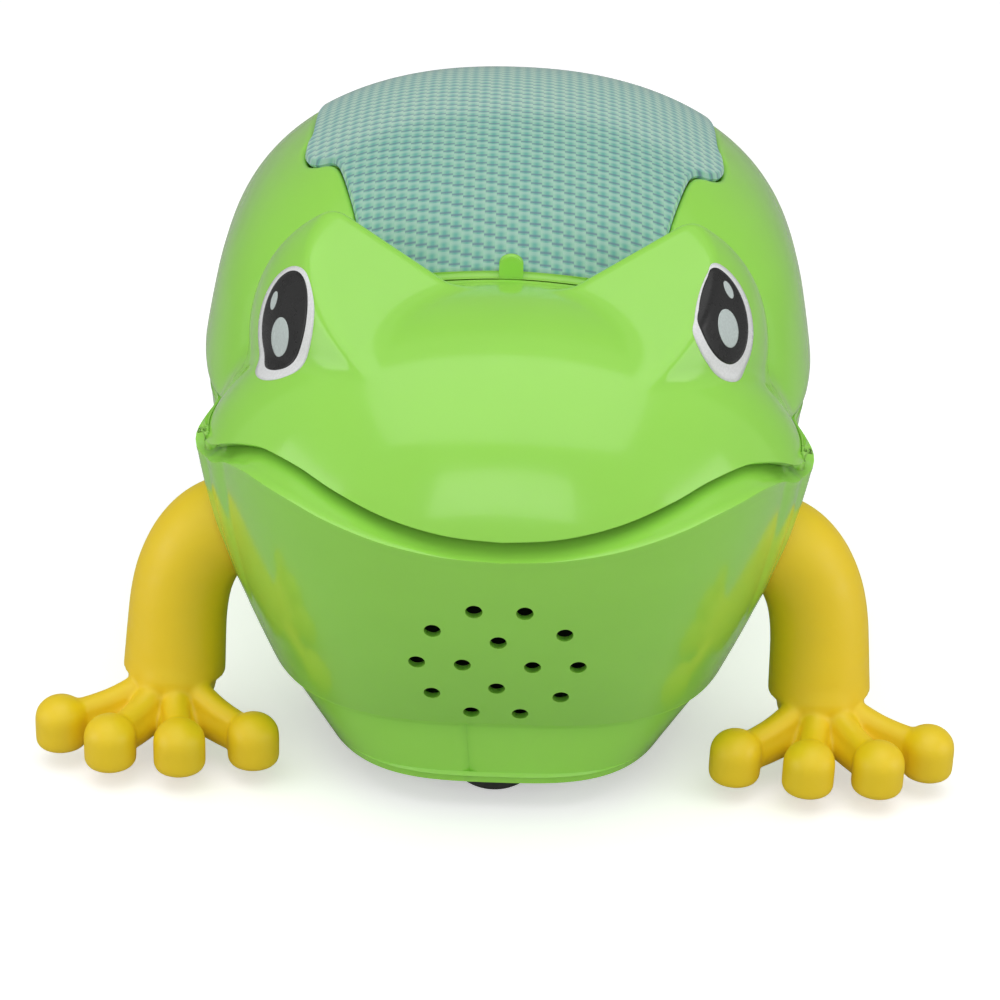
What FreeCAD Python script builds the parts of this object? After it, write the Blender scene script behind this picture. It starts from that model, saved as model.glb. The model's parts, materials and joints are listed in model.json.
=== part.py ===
"""Battery crawling frog: a moulded plastic body on a swivelling drive turret.

Frame: +Z up, the frog faces -Y, +X is the frog's left, and the floor is z = 0.
All sizes are in millimetres.
"""
import math
import os

import FreeCAD, Part

V = FreeCAD.Vector
doc = FreeCAD.newDocument("crawling_frog")
NODES = []

# ---------------------------------------------------------------- driving dimensions
DIMENSIONS = [
    ("wall", 2.0, "shell wall thickness"),
    ("gap", 0.2, "gap left at a moulded seam"),
    ("rim_height", 66.5, "height of the mouth seam"),
    ("crease_height", 19.0, "height of the crease above the skirt"),
    ("skirt_height", 5.5, "height of the skirt's lower edge"),
    ("rim_half_width", 62.5, "half width of the body at the mouth seam"),
    ("rim_reach", 88.0, "half length of the body at the mouth seam"),
    ("crease_half_width", 50.0, "half width at the crease"),
    ("skirt_half_width", 38.0, "half width of the skirt's lower edge"),
    ("skirt_reach", 71.0, "half length of the skirt"),
    ("skirt_centre", 5.0, "Y of the skirt's centre"),
    ("dome_centre", 22.0, "Y of the dome's centre"),
    ("dome_top", 118.0, "height of the dome's flat crown"),
    ("head_centre", -45.0, "Y of the head's centre"),
    ("head_level", 62.0, "height of the head's centre"),
    ("head_half_width", 60.0, "head, half size along X"),
    ("head_half_length", 42.0, "head, half size along Y"),
    ("head_half_height", 38.0, "head, half size along Z"),
    ("neck", -36.0, "Y of the seam between head and back shells"),
    ("eye_spread", 36.0, "X of an eye bulge's centre"),
    ("eye_centre", -44.0, "Y of an eye bulge's centre"),
    ("eye_level", 88.0, "height of an eye bulge's centre"),
    ("eye_half_width", 11.5, "eye bulge, half size along X"),
    ("eye_half_length", 18.0, "eye bulge, half size along Y"),
    ("eye_half_height", 24.0, "eye bulge, half size along Z"),
    ("clip_top", 108.0, "height of the lens clip's top"),
    ("sticker_thickness", 0.4, "eye sticker thickness"),
    ("sticker_height", 21.5, "eye sticker, long axis"),
    ("sticker_width", 17.0, "eye sticker, short axis"),
    ("speaker_height", 37.8, "height of the speaker hole pattern"),
    ("speaker_hole", 1.9, "speaker hole radius"),
    ("speaker_ring", 15.2, "outer ring radius of the speaker holes"),
    ("speaker_inner_ring", 6.6, "inner ring radius of the speaker holes"),
    ("speaker_radius", 19.5, "speaker frame radius"),
    ("turret_centre", -43.0, "Y of the drive turret's axis"),
    ("turret_hole", 19.5, "radius of the base plate's turret hole"),
    ("turret_flange", 20.6, "radius of the turret flange"),
    ("wheel_radius", 9.5, "drive wheel radius over its tyre"),
    ("wheel_width", 5.0, "drive wheel width"),
    ("wheel_offset", 14.0, "drive wheel centre from the turret's axis"),
    ("axle_radius", 1.0, "drive axle radius"),
    ("running_gap", 0.05, "radial clearance of a running fit"),
    ("rear_wheel_radius", 7.5, "rear wheel radius over its tyre"),
    ("rear_axle_place", 58.0, "Y of the rear axle"),
    ("rear_wheel_spread", 18.5, "X of a rear wheel's centre"),
    ("plate_bottom", 6.0, "height of the base plate's underside"),
    ("plate_thickness", 2.0, "base plate thickness"),
    ("gearbox_bottom", 22.0, "height of the gearbox's underside"),
    ("gearbox_height", 14.5, "gearbox height with its cover"),
    ("tooth_module", 0.5, "gear module"),
    ("shaft_radius", 1.0, "gear shaft radius"),
    ("crank_radius", 1.5, "throw of the crank pin"),
    ("arm_pivot_place", -33.0, "Y of the arm shaft"),
    ("arm_pivot_height", 45.0, "height of the arm shaft"),
    ("arm_radius", 10.0, "arm radius"),
    ("arm_reach", 64.5, "X of the forearm at the shoulder bend"),
    ("arm_shaft_radius", 2.5, "arm shaft radius"),
    ("finger_tip_radius", 5.2, "fingertip radius"),
    ("finger_clearance", 2.0, "height of the fingertips above the floor"),
    ("cell_radius", 7.25, "AA cell radius"),
    ("cell_length", 50.5, "AA cell length over its terminal"),
    ("cell_pitch", 15.0, "spacing of the cells"),
    ("cell_first", 9.5, "Y of the first cell"),
    ("cell_height", 16.5, "height of the cells' axes"),
]
sheet = doc.addObject("Spreadsheet::Sheet", "dims")
for row, (alias, value, note) in enumerate(DIMENSIONS, start=1):
    sheet.set("A%d" % row, note)
    sheet.set("B%d" % row, str(value))
    sheet.setAlias("B%d" % row, alias)
doc.recompute()


def dim(alias):
    """The value of one driving dimension."""
    return float(sheet.get(alias))


# ---------------------------------------------------------------- helpers
TURN = {
    "z": FreeCAD.Rotation(),
    "x": FreeCAD.Rotation(V(0, 1, 0), 90),
    "y": FreeCAD.Rotation(V(1, 0, 0), -90),
    "-z": FreeCAD.Rotation(V(1, 0, 0), 180),
}


def bind(obj, **sizes):
    """Bind properties to expressions given as text, or set them to plain values."""
    for prop, size in sizes.items():
        if isinstance(size, str):
            obj.setExpression(prop, size)
        else:
            setattr(obj, prop, size)
    return obj


def place(obj, x=0, y=0, z=0, rotation=TURN["z"]):
    """Place an object, with its coordinates as plain numbers or expressions."""
    numbers = [0 if isinstance(c, str) else c for c in (x, y, z)]
    obj.Placement = FreeCAD.Placement(V(*numbers), rotation)
    for letter, c in zip("xyz", (x, y, z)):
        if isinstance(c, str):
            obj.setExpression("Placement.Base." + letter, c)
    return obj


def cylinder(name, radius, height, x=0, y=0, z=0, along="z"):
    obj = bind(doc.addObject("Part::Cylinder", name), Radius=radius, Height=height)
    return place(obj, x, y, z, TURN[along])


def box(name, length, width, height, x=0, y=0, z=0):
    """A box centred on x and y, standing on z."""
    obj = bind(doc.addObject("Part::Box", name), Length=length, Width=width, Height=height)
    return place(obj, "%s - (%s) / 2" % (x, length), "%s - (%s) / 2" % (y, width), z)


def ellipsoid(name, rx, ry, rz, x, y, z, rotation=TURN["z"]):
    obj = doc.addObject("Part::Ellipsoid", name)
    bind(obj, Radius1=rz, Radius2=rx, Radius3=ry)
    return place(obj, x, y, z, rotation)


def fuse(name, shapes):
    obj = doc.addObject("Part::MultiFuse", name)
    obj.Refine = False
    obj.Shapes = shapes
    return obj


def common(name, base, tool):
    obj = doc.addObject("Part::Common", name)
    obj.Refine = False
    obj.Base = base
    obj.Tool = tool
    return obj


def cut(name, base, tools):
    """Cut a list of tools out of a base."""
    obj = doc.addObject("Part::Cut", name)
    obj.Refine = False
    obj.Base = base
    obj.Tool = tools[0] if len(tools) == 1 else fuse(name + "_tools", tools)
    return obj


def node(obj, label):
    """Mark an object as a finished sub-part, with the label that names its file."""
    obj.Label = label
    NODES.append(obj)
    return obj


def plane(body, role):
    return next(f for f in body.Origin.OriginFeatures if f.Role == role)


def sketch_on(body, name, level=0, role="XY_Plane"):
    """A sketch on one of the body's own origin planes, lifted by an expression or number."""
    sketch = body.newObject("Sketcher::SketchObject", name)
    sketch.AttachmentSupport = [(plane(body, role), "")]
    sketch.MapMode = "FlatFace"
    if isinstance(level, str):
        sketch.setExpression("AttachmentOffset.Base.z", level)
    else:
        sketch.AttachmentOffset = FreeCAD.Placement(V(0, 0, level), FreeCAD.Rotation())
    return sketch


# ---------------------------------------------------------------- body outlines
SQUARENESS = 2.5
OUTLINE_POINTS = 24


def superellipse(half_width, half_length, centre):
    """A closed smooth outline, squarer than an ellipse, around (0, centre)."""
    points = []
    for k in range(OUTLINE_POINTS):
        angle = 2 * math.pi * k / OUTLINE_POINTS
        c = math.cos(angle)
        s = math.sin(angle)
        x = math.copysign(abs(c) ** (2 / SQUARENESS), c) * half_width
        y = math.copysign(abs(s) ** (2 / SQUARENESS), s) * half_length
        points.append(V(x, centre + y, 0))
    curve = Part.BSplineCurve()
    curve.interpolate(points, PeriodicFlag=True)
    return curve


def stacked_solid(name, sections, ruled):
    """Loft through (height expression, half width, half length, centre) sections."""
    body = doc.addObject("PartDesign::Body", name)
    sketches = []
    for k, (level, half_width, half_length, centre) in enumerate(sections):
        sketch = sketch_on(body, "%s_section_%d" % (name, k), level)
        sketch.addGeometry(superellipse(half_width, half_length, centre), False)
        sketches.append(sketch)
    loft = body.newObject("PartDesign::AdditiveLoft", name + "_loft")
    loft.Profile = sketches[0]
    loft.Sections = sketches[1:]
    loft.Ruled = ruled
    return body


def tub(name, inset, overshoot):
    """The lower body's volume: skirt, crease and flaring chin."""
    crease_centre = dim("skirt_centre")
    return stacked_solid(name, [
        ("dims.skirt_height - %g" % overshoot, dim("skirt_half_width") - inset,
         dim("skirt_reach") - inset, crease_centre),
        ("dims.crease_height", dim("crease_half_width") - inset,
         dim("skirt_reach") + 1.5 - inset, crease_centre),
        ("dims.rim_height + %g" % overshoot, dim("rim_half_width") - inset,
         dim("rim_reach") - inset, 0),
    ], True)


DOME_STEPS = 7


def dome(name, inset, lift):
    """The back's volume above the mouth seam.

    Its outlines shrink up to a flat crown, and drift back from the rim's centre to the dome's.
    """
    sections = []
    rise = dim("dome_top") - dim("rim_height")
    for k in range(DOME_STEPS):
        slope = 0.5 * math.pi * (k / (DOME_STEPS - 1)) * 0.86
        shrink = math.cos(slope) ** 0.72
        level = rise * math.sin(slope) / math.sin(0.5 * math.pi * 0.86)
        height = "dims.rim_height + %g" % (level * (rise - inset) / rise - (lift if k == 0 else 0))
        forward = dim("dome_centre") * (1 - k / (DOME_STEPS - 1)) ** 3
        half_length = (dim("rim_reach") - dim("dome_centre")) * shrink + forward - inset
        sections.append((height, dim("rim_half_width") * shrink - inset, half_length,
                         dim("dome_centre") - forward))
    return stacked_solid(name, sections, False)


# ---------------------------------------------------------------- shells
def head_volume(name, inset):
    """The head and its two eye bulges, each drawn in by the inset."""
    less = " - %g" % inset
    shapes = [ellipsoid(name + "_skull", "dims.head_half_width" + less, "dims.head_half_length" + less,
                        "dims.head_half_height" + less, 0, "dims.head_centre", "dims.head_level")]
    for side, mark in ((1, "left"), (-1, "right")):
        tilt = FreeCAD.Rotation(V(0, 0, 1), 12 * side)
        shapes.append(ellipsoid("%s_eye_%s" % (name, mark), "dims.eye_half_width" + less,
                                "dims.eye_half_length" + less, "dims.eye_half_height" + less,
                                "%d * dims.eye_spread" % side, "dims.eye_centre", "dims.eye_level", tilt))
    return shapes


def prism(name, points, bottom, height):
    """An upright solid over a closed outline of straight edges."""
    body = doc.addObject("PartDesign::Body", name)
    sketch = sketch_on(body, name + "_outline", bottom)
    for k, (x, y) in enumerate(points):
        following = points[(k + 1) % len(points)]
        sketch.addGeometry(Part.LineSegment(V(x, y, 0), V(following[0], following[1], 0)), False)
    pad = body.newObject("PartDesign::Pad", name + "_pad")
    pad.Profile = sketch
    bind(pad, Length=height)
    return body


def lens_prism(name, margin):
    """The lens opening's outline: wide at the back, narrowing to the neck, with corner lobes."""
    front = dim("neck") + 2
    outline = [(-30 + margin, front + margin), (30 - margin, front + margin), (42 - margin, 26),
               (38 - margin, 62 - margin), (-38 + margin, 62 - margin), (-42 + margin, 26)]
    shapes = [prism(name + "_field", outline, 80, 60)]
    for side, mark in ((1, "left"), (-1, "right")):
        shapes.append(cylinder("%s_lobe_%s" % (name, mark), 4.8 - margin, 60, 42.0 * side, 29, 80))
    return fuse(name, shapes)


SHELL_SCREWS = [(30, -22), (-30, -22), (0, 69)]


def upper_shells():
    outer = fuse("upper_outer", [dome("dome_outer", 0, 0)] + head_volume("head_outer", 0))
    inner = fuse("upper_inner", [dome("dome_inner", dim("wall"), 1)] + head_volume("head_inner", dim("wall")))
    upper = cut("upper_hollow", outer, [inner])
    head_zone = box("head_zone", 200, 100, 100,
                    0, "dims.neck - dims.gap / 2 - 50", "dims.rim_height + dims.gap")
    node(common("head_shell_solid", upper, head_zone), "head_shell")
    back_zone = box("back_zone", 200, 200, 100,
                    0, "dims.neck + dims.gap / 2 + 100", "dims.rim_height + dims.gap")
    back = common("back_whole", upper, back_zone)
    node(cut("back_shell_solid", back, [lens_prism("lens_opening", 0)]), "back_shell")
    node(common("lens_solid", back, lens_prism("lens_outline", dim("gap"))), "lens_cover")


def lower_shell():
    shell = cut("tub_hollow", tub("tub_outer", 0, 0), [tub("tub_inner", dim("wall"), 0.5)])
    bosses = []
    for k, (x, y) in enumerate(SHELL_SCREWS):
        bosses.append(cylinder("shell_boss_%d" % k, 3.2, 12, x, y, 8.2))
        if x:
            bosses.append(box("shell_boss_rib_%d" % k, 40, 2, 10, x + math.copysign(20, x), y, 10))
        else:
            bosses.append(box("shell_boss_rib_%d" % k, 2, 40, 10, x, y + 20, 10))
    inside = common("shell_bosses", fuse("shell_boss_group", bosses), tub("tub_trim", 1, 0))
    holes = []
    for k in range(10):
        angle = math.radians(36 * k)
        holes.append(cylinder("speaker_hole_%d" % k, "dims.speaker_hole", 40,
                              dim("speaker_ring") * math.cos(angle), -95,
                              "dims.speaker_height + %g" % (dim("speaker_ring") * math.sin(angle)), "y"))
    for k in range(4):
        angle = math.radians(90 * k)
        rise = dim("speaker_inner_ring") * math.sin(angle)
        holes.append(cylinder("speaker_inner_hole_%d" % k, "dims.speaker_hole", 40,
                              dim("speaker_inner_ring") * math.cos(angle), -95,
                              "dims.speaker_height + %g" % rise, "y"))
    holes.append(cylinder("shoulder_hole", "dims.arm_radius + 0.4", 160, -80, "dims.arm_pivot_place",
                          "dims.arm_pivot_height", "x"))
    for k, (x, y) in enumerate(SHELL_SCREWS):
        holes.append(cylinder("shell_pilot_%d" % k, 1.0, 9, x, y, 8))
    node(cut("lower_shell_solid", fuse("lower_shell_whole", [shell, inside]), holes), "lower_shell")


def eye_stickers():
    """Thin oval stickers lying on the outer flanks of the eye bulges."""
    for side, mark in ((1, "left"), (-1, "right")):
        normal = V(0.80 * side, -0.58, 0.16)
        normal.normalize()
        upright = V(0, 0, 1) - normal * normal.z
        upright.normalize()
        across = upright.cross(normal)
        turn = FreeCAD.Rotation(across, upright, normal, "ZXY")
        disc = doc.addObject("Part::Cylinder", "sticker_disc_" + mark)
        bind(disc, Radius="dims.sticker_height / 2", Height=14)
        centre = V(dim("eye_spread") * side, dim("eye_centre"), dim("eye_level") + 6)
        place(disc, centre.x, centre.y, centre.z, turn)
        grown = ellipsoid("sticker_skin_" + mark, "dims.eye_half_width + dims.sticker_thickness",
                          "dims.eye_half_length + dims.sticker_thickness",
                          "dims.eye_half_height + dims.sticker_thickness", "%d * dims.eye_spread" % side,
                          "dims.eye_centre", "dims.eye_level", FreeCAD.Rotation(V(0, 0, 1), 12 * side))
        narrow = ellipsoid("sticker_oval_" + mark, "dims.sticker_width / 2", "dims.sticker_height / 2", 30,
                           centre.x, centre.y, centre.z, turn)
        skin = common("sticker_patch_" + mark, common("sticker_cap_" + mark, grown, disc), narrow)
        skull = doc.getObject("head_outer_skull")
        eye = doc.getObject("head_outer_eye_" + mark)
        node(cut("sticker_solid_" + mark, skin, [eye, skull]), "eye_sticker_" + mark)


def lens_clip():
    """The small upright tab that holds the lens's front edge."""
    stem = box("clip_stem", 3.8, 1.8, 6, 0, "dims.neck + 6", "dims.clip_top - 7.9")
    crown = cylinder("clip_crown", 1.9, 1.8, 0, "dims.neck + 5.1", "dims.clip_top - 1.9", "y")
    upper = doc.getObject("upper_outer")
    node(cut("lens_clip_solid", fuse("clip_whole", [stem, crown]), [upper]), "lens_clip")


# ---------------------------------------------------------------- arms
FINGERTIPS = [(48.2, -55.2), (62.6, -58.7), (76.5, -57.9), (87.3, -50.8)]
WRIST = V(65.5, -41.0, 14.0)


def rod(name, start, end, radius, end_radius=None):
    """A round bar between two points, tapered if an end radius is given."""
    run = end - start
    turn = FreeCAD.Rotation(V(0, 0, 1), run)
    if end_radius is None:
        obj = bind(doc.addObject("Part::Cylinder", name), Radius=radius, Height=run.Length)
    else:
        obj = bind(doc.addObject("Part::Cone", name), Radius1=radius, Radius2=end_radius, Height=run.Length)
    obj.Placement = FreeCAD.Placement(start, turn)
    return obj


def ball(name, radius, centre):
    obj = bind(doc.addObject("Part::Sphere", name), Radius=radius)
    obj.Placement = FreeCAD.Placement(centre, FreeCAD.Rotation())
    return obj


def arms():
    """Shoulder stub, bent forearm, and a hand of four ribbed fingers with domed tips, mirrored."""
    bend = V(dim("arm_reach"), dim("arm_pivot_place"), dim("arm_pivot_height"))
    inner = V(52, bend.y, bend.z)
    hub = V(WRIST.x, WRIST.y - 3, 7.5)
    whole = fuse("arm_trunk", [
        rod("arm_stub", inner, bend, "dims.arm_radius"),
        ball("arm_bend", "dims.arm_radius", bend),
        rod("forearm", bend, WRIST, "dims.arm_radius", "dims.arm_radius + 0.5"),
        ball("palm", 5, hub),
        rod("heel", WRIST, hub, 8, 5),
    ])
    tip_top = dim("finger_clearance") + dim("finger_tip_radius")
    for k, (x, y) in enumerate(FINGERTIPS):
        tip = V(x, y, tip_top)
        pad = cylinder("fingertip_%d" % k, "dims.finger_tip_radius - 0.4", "dims.finger_tip_radius",
                       x, y, "dims.finger_clearance")
        dome = ball("fingertip_dome_%d" % k, "dims.finger_tip_radius", tip)
        finger = fuse("finger_%d" % k, [rod("finger_rib_%d" % k, hub, tip, 3.2), pad, dome])
        whole = fuse("arm_to_finger_%d" % k, [whole, finger])
    socket = cylinder("arm_socket", "dims.arm_shaft_radius", 12, 50, "dims.arm_pivot_place",
                      "dims.arm_pivot_height", "x")
    left = node(cut("arm_solid", whole, [socket]), "arm_left")
    right = doc.addObject("Part::Mirroring", "arm_mirrored")
    right.Source = left
    right.Base = V(0, 0, 0)
    right.Normal = V(1, 0, 0)
    node(right, "arm_right")


def arm_drive():
    """The cross shaft that joins the arms, and the rocker fork that the crank pin moves."""
    node(cylinder("arm_shaft_solid", "dims.arm_shaft_radius", 123.6, -61.8, "dims.arm_pivot_place",
                  "dims.arm_pivot_height", "x"), "arm_shaft")
    pivot_y = dim("arm_pivot_place")
    hub = cylinder("rocker_hub", 4.5, 8, -4, "dims.arm_pivot_place", "dims.arm_pivot_height", "x")
    beam = box("rocker_beam", 6, 14, 3, 0, pivot_y - 7.8, 45)
    front_tine = box("rocker_front_tine", 6, 1.6, 7, 0, "dims.turret_centre - 4", 39.4)
    rear_tine = box("rocker_rear_tine", 6, 1.6, 7, 0, "dims.turret_centre + 6", 39.4)
    bore = cylinder("rocker_bore", "dims.arm_shaft_radius", 20, -10, "dims.arm_pivot_place",
                    "dims.arm_pivot_height", "x")
    whole = fuse("rocker_whole", [hub, beam, front_tine, rear_tine])
    node(cut("rocker_solid", whole, [bore]), "arm_rocker")


# ---------------------------------------------------------------- underside
GEARBOX_POSTS = [(25, -38), (-25, -38), (25, -10), (-25, -10)]
DOOR_FRONT = 1.0
DOOR_REAR = 48.0
DOOR_HALF_WIDTH = 29.0
WELL_WIDTH = 7.0
WELL_LENGTH = 16.4


def base_plate():
    """The flat underside: turret hole, battery opening, rear wheel well and its axle ribs."""
    body = doc.addObject("PartDesign::Body", "plate_body")
    sketch = sketch_on(body, "plate_outline", "dims.plate_bottom")
    sketch.addGeometry(superellipse(36.0, 68.6, dim("skirt_centre")), False)
    pad = body.newObject("PartDesign::Pad", "plate_pad")
    pad.Profile = sketch
    bind(pad, Length="dims.plate_thickness")
    floor = "dims.plate_bottom"
    top = "dims.plate_bottom + dims.plate_thickness"
    raised = []
    for k, (x, y) in enumerate(GEARBOX_POSTS):
        raised.append(cylinder("gearbox_post_%d" % k, 2.8,
                               "dims.gearbox_bottom - dims.plate_bottom", x, y, floor))
    for side, mark in ((1, "left"), (-1, "right")):
        raised.append(box("axle_rib_" + mark, 3, 12, 6, 11 * side, "dims.rear_axle_place", floor))
        raised.append(box("battery_wall_" + mark, 1.5, 47, 14, 29.75 * side, 24.5, floor))
    raised.append(box("battery_wall_front", 61, 1.5, 14, 0, 0.25, floor))
    raised.append(box("battery_wall_rear", 61, 1.5, 14, 0, 48.75, floor))
    raised.append(box("door_screw_tab", 9, 5.6, 2, 0, 45.9, 8))
    wells = [box("wheel_well_" + mark, WELL_WIDTH, WELL_LENGTH, 4, "%d * dims.rear_wheel_spread" % side,
                 "dims.rear_axle_place", 5) for side, mark in ((1, "left"), (-1, "right"))]
    opened = cut("plate_opened", body, [
        cylinder("turret_opening", "dims.turret_hole", 10, 0, "dims.turret_centre", 0),
        box("battery_opening", 2 * DOOR_HALF_WIDTH, DOOR_REAR - DOOR_FRONT, 10,
            0, (DOOR_REAR + DOOR_FRONT) / 2, 0),
        box("axle_groove", 46, 2.8, 10, 0, "dims.rear_axle_place", 0),
        box("switch_opening", 8, 4, 10, -14, -19, 0),
    ] + wells)
    holes = [cylinder("rear_axle_bore", "dims.axle_radius + dims.running_gap", 40, -20,
                      "dims.rear_axle_place", "dims.rear_wheel_radius", "x"),
             cylinder("door_screw_clearance", 1.4, 6, 0, DOOR_REAR - 3, 6)]
    for k, (x, y) in enumerate(SHELL_SCREWS):
        holes.append(cylinder("plate_screw_hole_%d" % k, 1.3, 10, x, y, 0))
        holes.append(cylinder("plate_screw_sink_%d" % k, 2.6, 1.5, x, y, 5.5))
    for k, (x, y) in enumerate(GEARBOX_POSTS):
        holes.append(cylinder("post_pilot_%d" % k, 0.9, 12, x, y, 12))
    node(cut("base_plate_solid", fuse("plate_whole", [opened] + raised), holes), "base_plate")


def screw(label, head_radius, shank_radius, length, x, y, z, upward):
    """A cross-head screw whose head lies at z and whose shank runs up or down."""
    head_z = z if upward else z - 1
    shank_z = z + 0.6 if upward else z - length
    head = cylinder(label + "_head", head_radius, 1, x, y, head_z)
    shank = cylinder(label + "_shank", shank_radius, length - 0.6, x, y, shank_z)
    slot_z = z - 0.1 if upward else z - 0.5
    slots = [box(label + "_slot_a", 2.4, 0.5, 0.6, x, y, slot_z),
             box(label + "_slot_b", 0.5, 2.4, 0.6, x, y, slot_z)]
    return node(cut(label + "_solid", fuse(label + "_whole", [head, shank]), slots), label)


def screws():
    for k, (x, y) in enumerate(SHELL_SCREWS, start=1):
        screw("base_screw_%d" % k, 2.5, 1.0, 10, x, y, 6.0, True)
    screw("door_screw", 2.2, 0.9, 4.2, 0, DOOR_REAR - 3, 6.0, True)


def battery_bay():
    """The door, three AA cells and their end contacts."""
    door = box("door_panel", 2 * DOOR_HALF_WIDTH - 0.6, DOOR_REAR - DOOR_FRONT - 0.6, 1.6, 0,
               (DOOR_REAR + DOOR_FRONT) / 2, 6.2)
    sink = cylinder("door_screw_sink", 2.3, 1.3, 0, DOOR_REAR - 3, 5.9)
    hole = cylinder("door_screw_hole", 0.95, 8, 0, DOOR_REAR - 3, 4)
    grooves = [box("door_groove_%d" % k, 30, 1, 0.5, 0, 12 + 4 * k, 6) for k in range(3)]
    node(cut("door_solid", door, [sink, hole] + grooves), "battery_door")
    for k in range(3):
        y = dim("cell_first") + dim("cell_pitch") * k
        side = 1 if k % 2 == 0 else -1
        half = dim("cell_length") / 2
        can = cylinder("cell_can_%d" % k, "dims.cell_radius", "dims.cell_length - 1",
                       -half + (1 if side < 0 else 0), y, "dims.cell_height", "x")
        tip_x = half - 1 if side > 0 else -half
        tip = cylinder("cell_tip_%d" % k, 2.6, 1, tip_x, y, "dims.cell_height", "x")
        node(fuse("cell_solid_%d" % k, [can, tip]), "battery_%d" % (k + 1))
    for side, mark in ((1, "left"), (-1, "right")):
        strips = [box("contact_strip_" + mark, 0.4, 43, 11, 28.6 * side, 24.5, 9)]
        for k in range(3):
            spring_side = -1 if k % 2 == 0 else 1
            if spring_side != side:
                continue
            y = dim("cell_first") + dim("cell_pitch") * k
            start = 25.4 if side > 0 else -28.5
            strips.append(cylinder("contact_spring_%s_%d" % (mark, k), 3, 3.1,
                                   start, y, "dims.cell_height", "x"))
        node(fuse("contact_solid_" + mark, strips), "battery_contact_" + mark)


def power_switch():
    knob = fuse("knob_whole", [box("knob_stem", 3, 2.6, 5, -15.8, -19, 4.6),
                               box("knob_slider", 5, 4.4, 1.2, -15.8, -19, 8.4)])
    node(knob, "power_switch_knob")
    can = box("switch_can", 12, 8, 5.2, -14, -19, 8.1)
    pocket = box("switch_pocket", 10.4, 5.2, 2.6, -14, -19, 8.0)
    node(cut("switch_solid", can, [pocket]), "switch_body")


def rear_wheels():
    """A steel axle with two moulded wheels and their rubber tyres."""
    node(cylinder("rear_axle_solid", "dims.axle_radius", 45, -22.5, "dims.rear_axle_place",
                  "dims.rear_wheel_radius", "x"), "rear_axle")
    for side, mark in ((1, "left"), (-1, "right")):
        start = dim("rear_wheel_spread") * side - 2.5
        wheel("rear_wheel_" + mark, "rear_tyre_" + mark, "dims.rear_wheel_radius", start,
              "dims.rear_axle_place", "dims.rear_wheel_radius", "x")


def wheel(label, tyre_label, radius, x, y, z, along):
    """A wheel hub on its axle, and the tyre ring stretched over it."""
    shift = 1.0
    dish_x = x + shift if along == "x" else x
    hub = cylinder(label + "_disc", radius + " - 1.8", "dims.wheel_width", x, y, z, along)
    bore = cylinder(label + "_bore", "dims.axle_radius", "dims.wheel_width", x, y, z, along)
    dish = cylinder(label + "_dish", radius + " - 3.4", "dims.wheel_width - 1", dish_x, y, z, along)
    boss = cylinder(label + "_boss", 2.4, "dims.wheel_width", x, y, z, along)
    if along == "x" and x < 0:
        place(dish, x, y, z, TURN[along])
    if along == "y":
        outward = y - dim("turret_centre") > 0
        place(dish, x, y + (shift if outward else 0), z, TURN[along])
    dished = fuse(label + "_web", [cut(label + "_rim", hub, [dish]), boss])
    node(cut(label + "_solid", dished, [bore]), label)
    ring = cylinder(label + "_ring", radius, "dims.wheel_width", x, y, z, along)
    seat = cylinder(label + "_seat", radius + " - 1.8", "dims.wheel_width", x, y, z, along)
    node(cut(label + "_tyre", ring, [seat]), tyre_label)


# ---------------------------------------------------------------- drive turret
def turret():
    """A flanged swivel disc with an axle box below and through it, open for both wheels."""
    centre = "dims.turret_centre"
    flange = cylinder("turret_flange_disc", "dims.turret_flange", 1.6, 0, centre, 8.4)
    ring = cylinder("turret_ring", "dims.turret_hole - 0.3", 2.4, 0, centre, 6.2)
    case = box("axle_box", 21, 20, 19.6, 0, centre, 1.4)
    inside = box("axle_box_inside", 17, 16, 17.8, 0, centre, 1.3)
    slots = []
    for side, mark in ((1, "rear"), (-1, "front")):
        slots.append(box("wheel_slot_" + mark, 20, 6.4, 12, 0, "%s + %g" % (centre, 14.1 * side), 0))
    axle_bore = cylinder("drive_axle_bore", "dims.axle_radius + dims.running_gap", 30, 0,
                         dim("turret_centre") - 15, "dims.wheel_radius", "y")
    shaft_way = cylinder("output_shaft_way", 4.2, 8, 0, centre, 16)
    whole = fuse("turret_whole", [flange, ring, case])
    node(cut("turret_solid", whole, [inside, axle_bore, shaft_way] + slots), "turret")
    node(box("turret_cover_solid", 16.8, 15.8, 1.0, 0, centre, 1.5), "turret_cover")


CROWN_TEETH = 24
PINION_TEETH = 12


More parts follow.
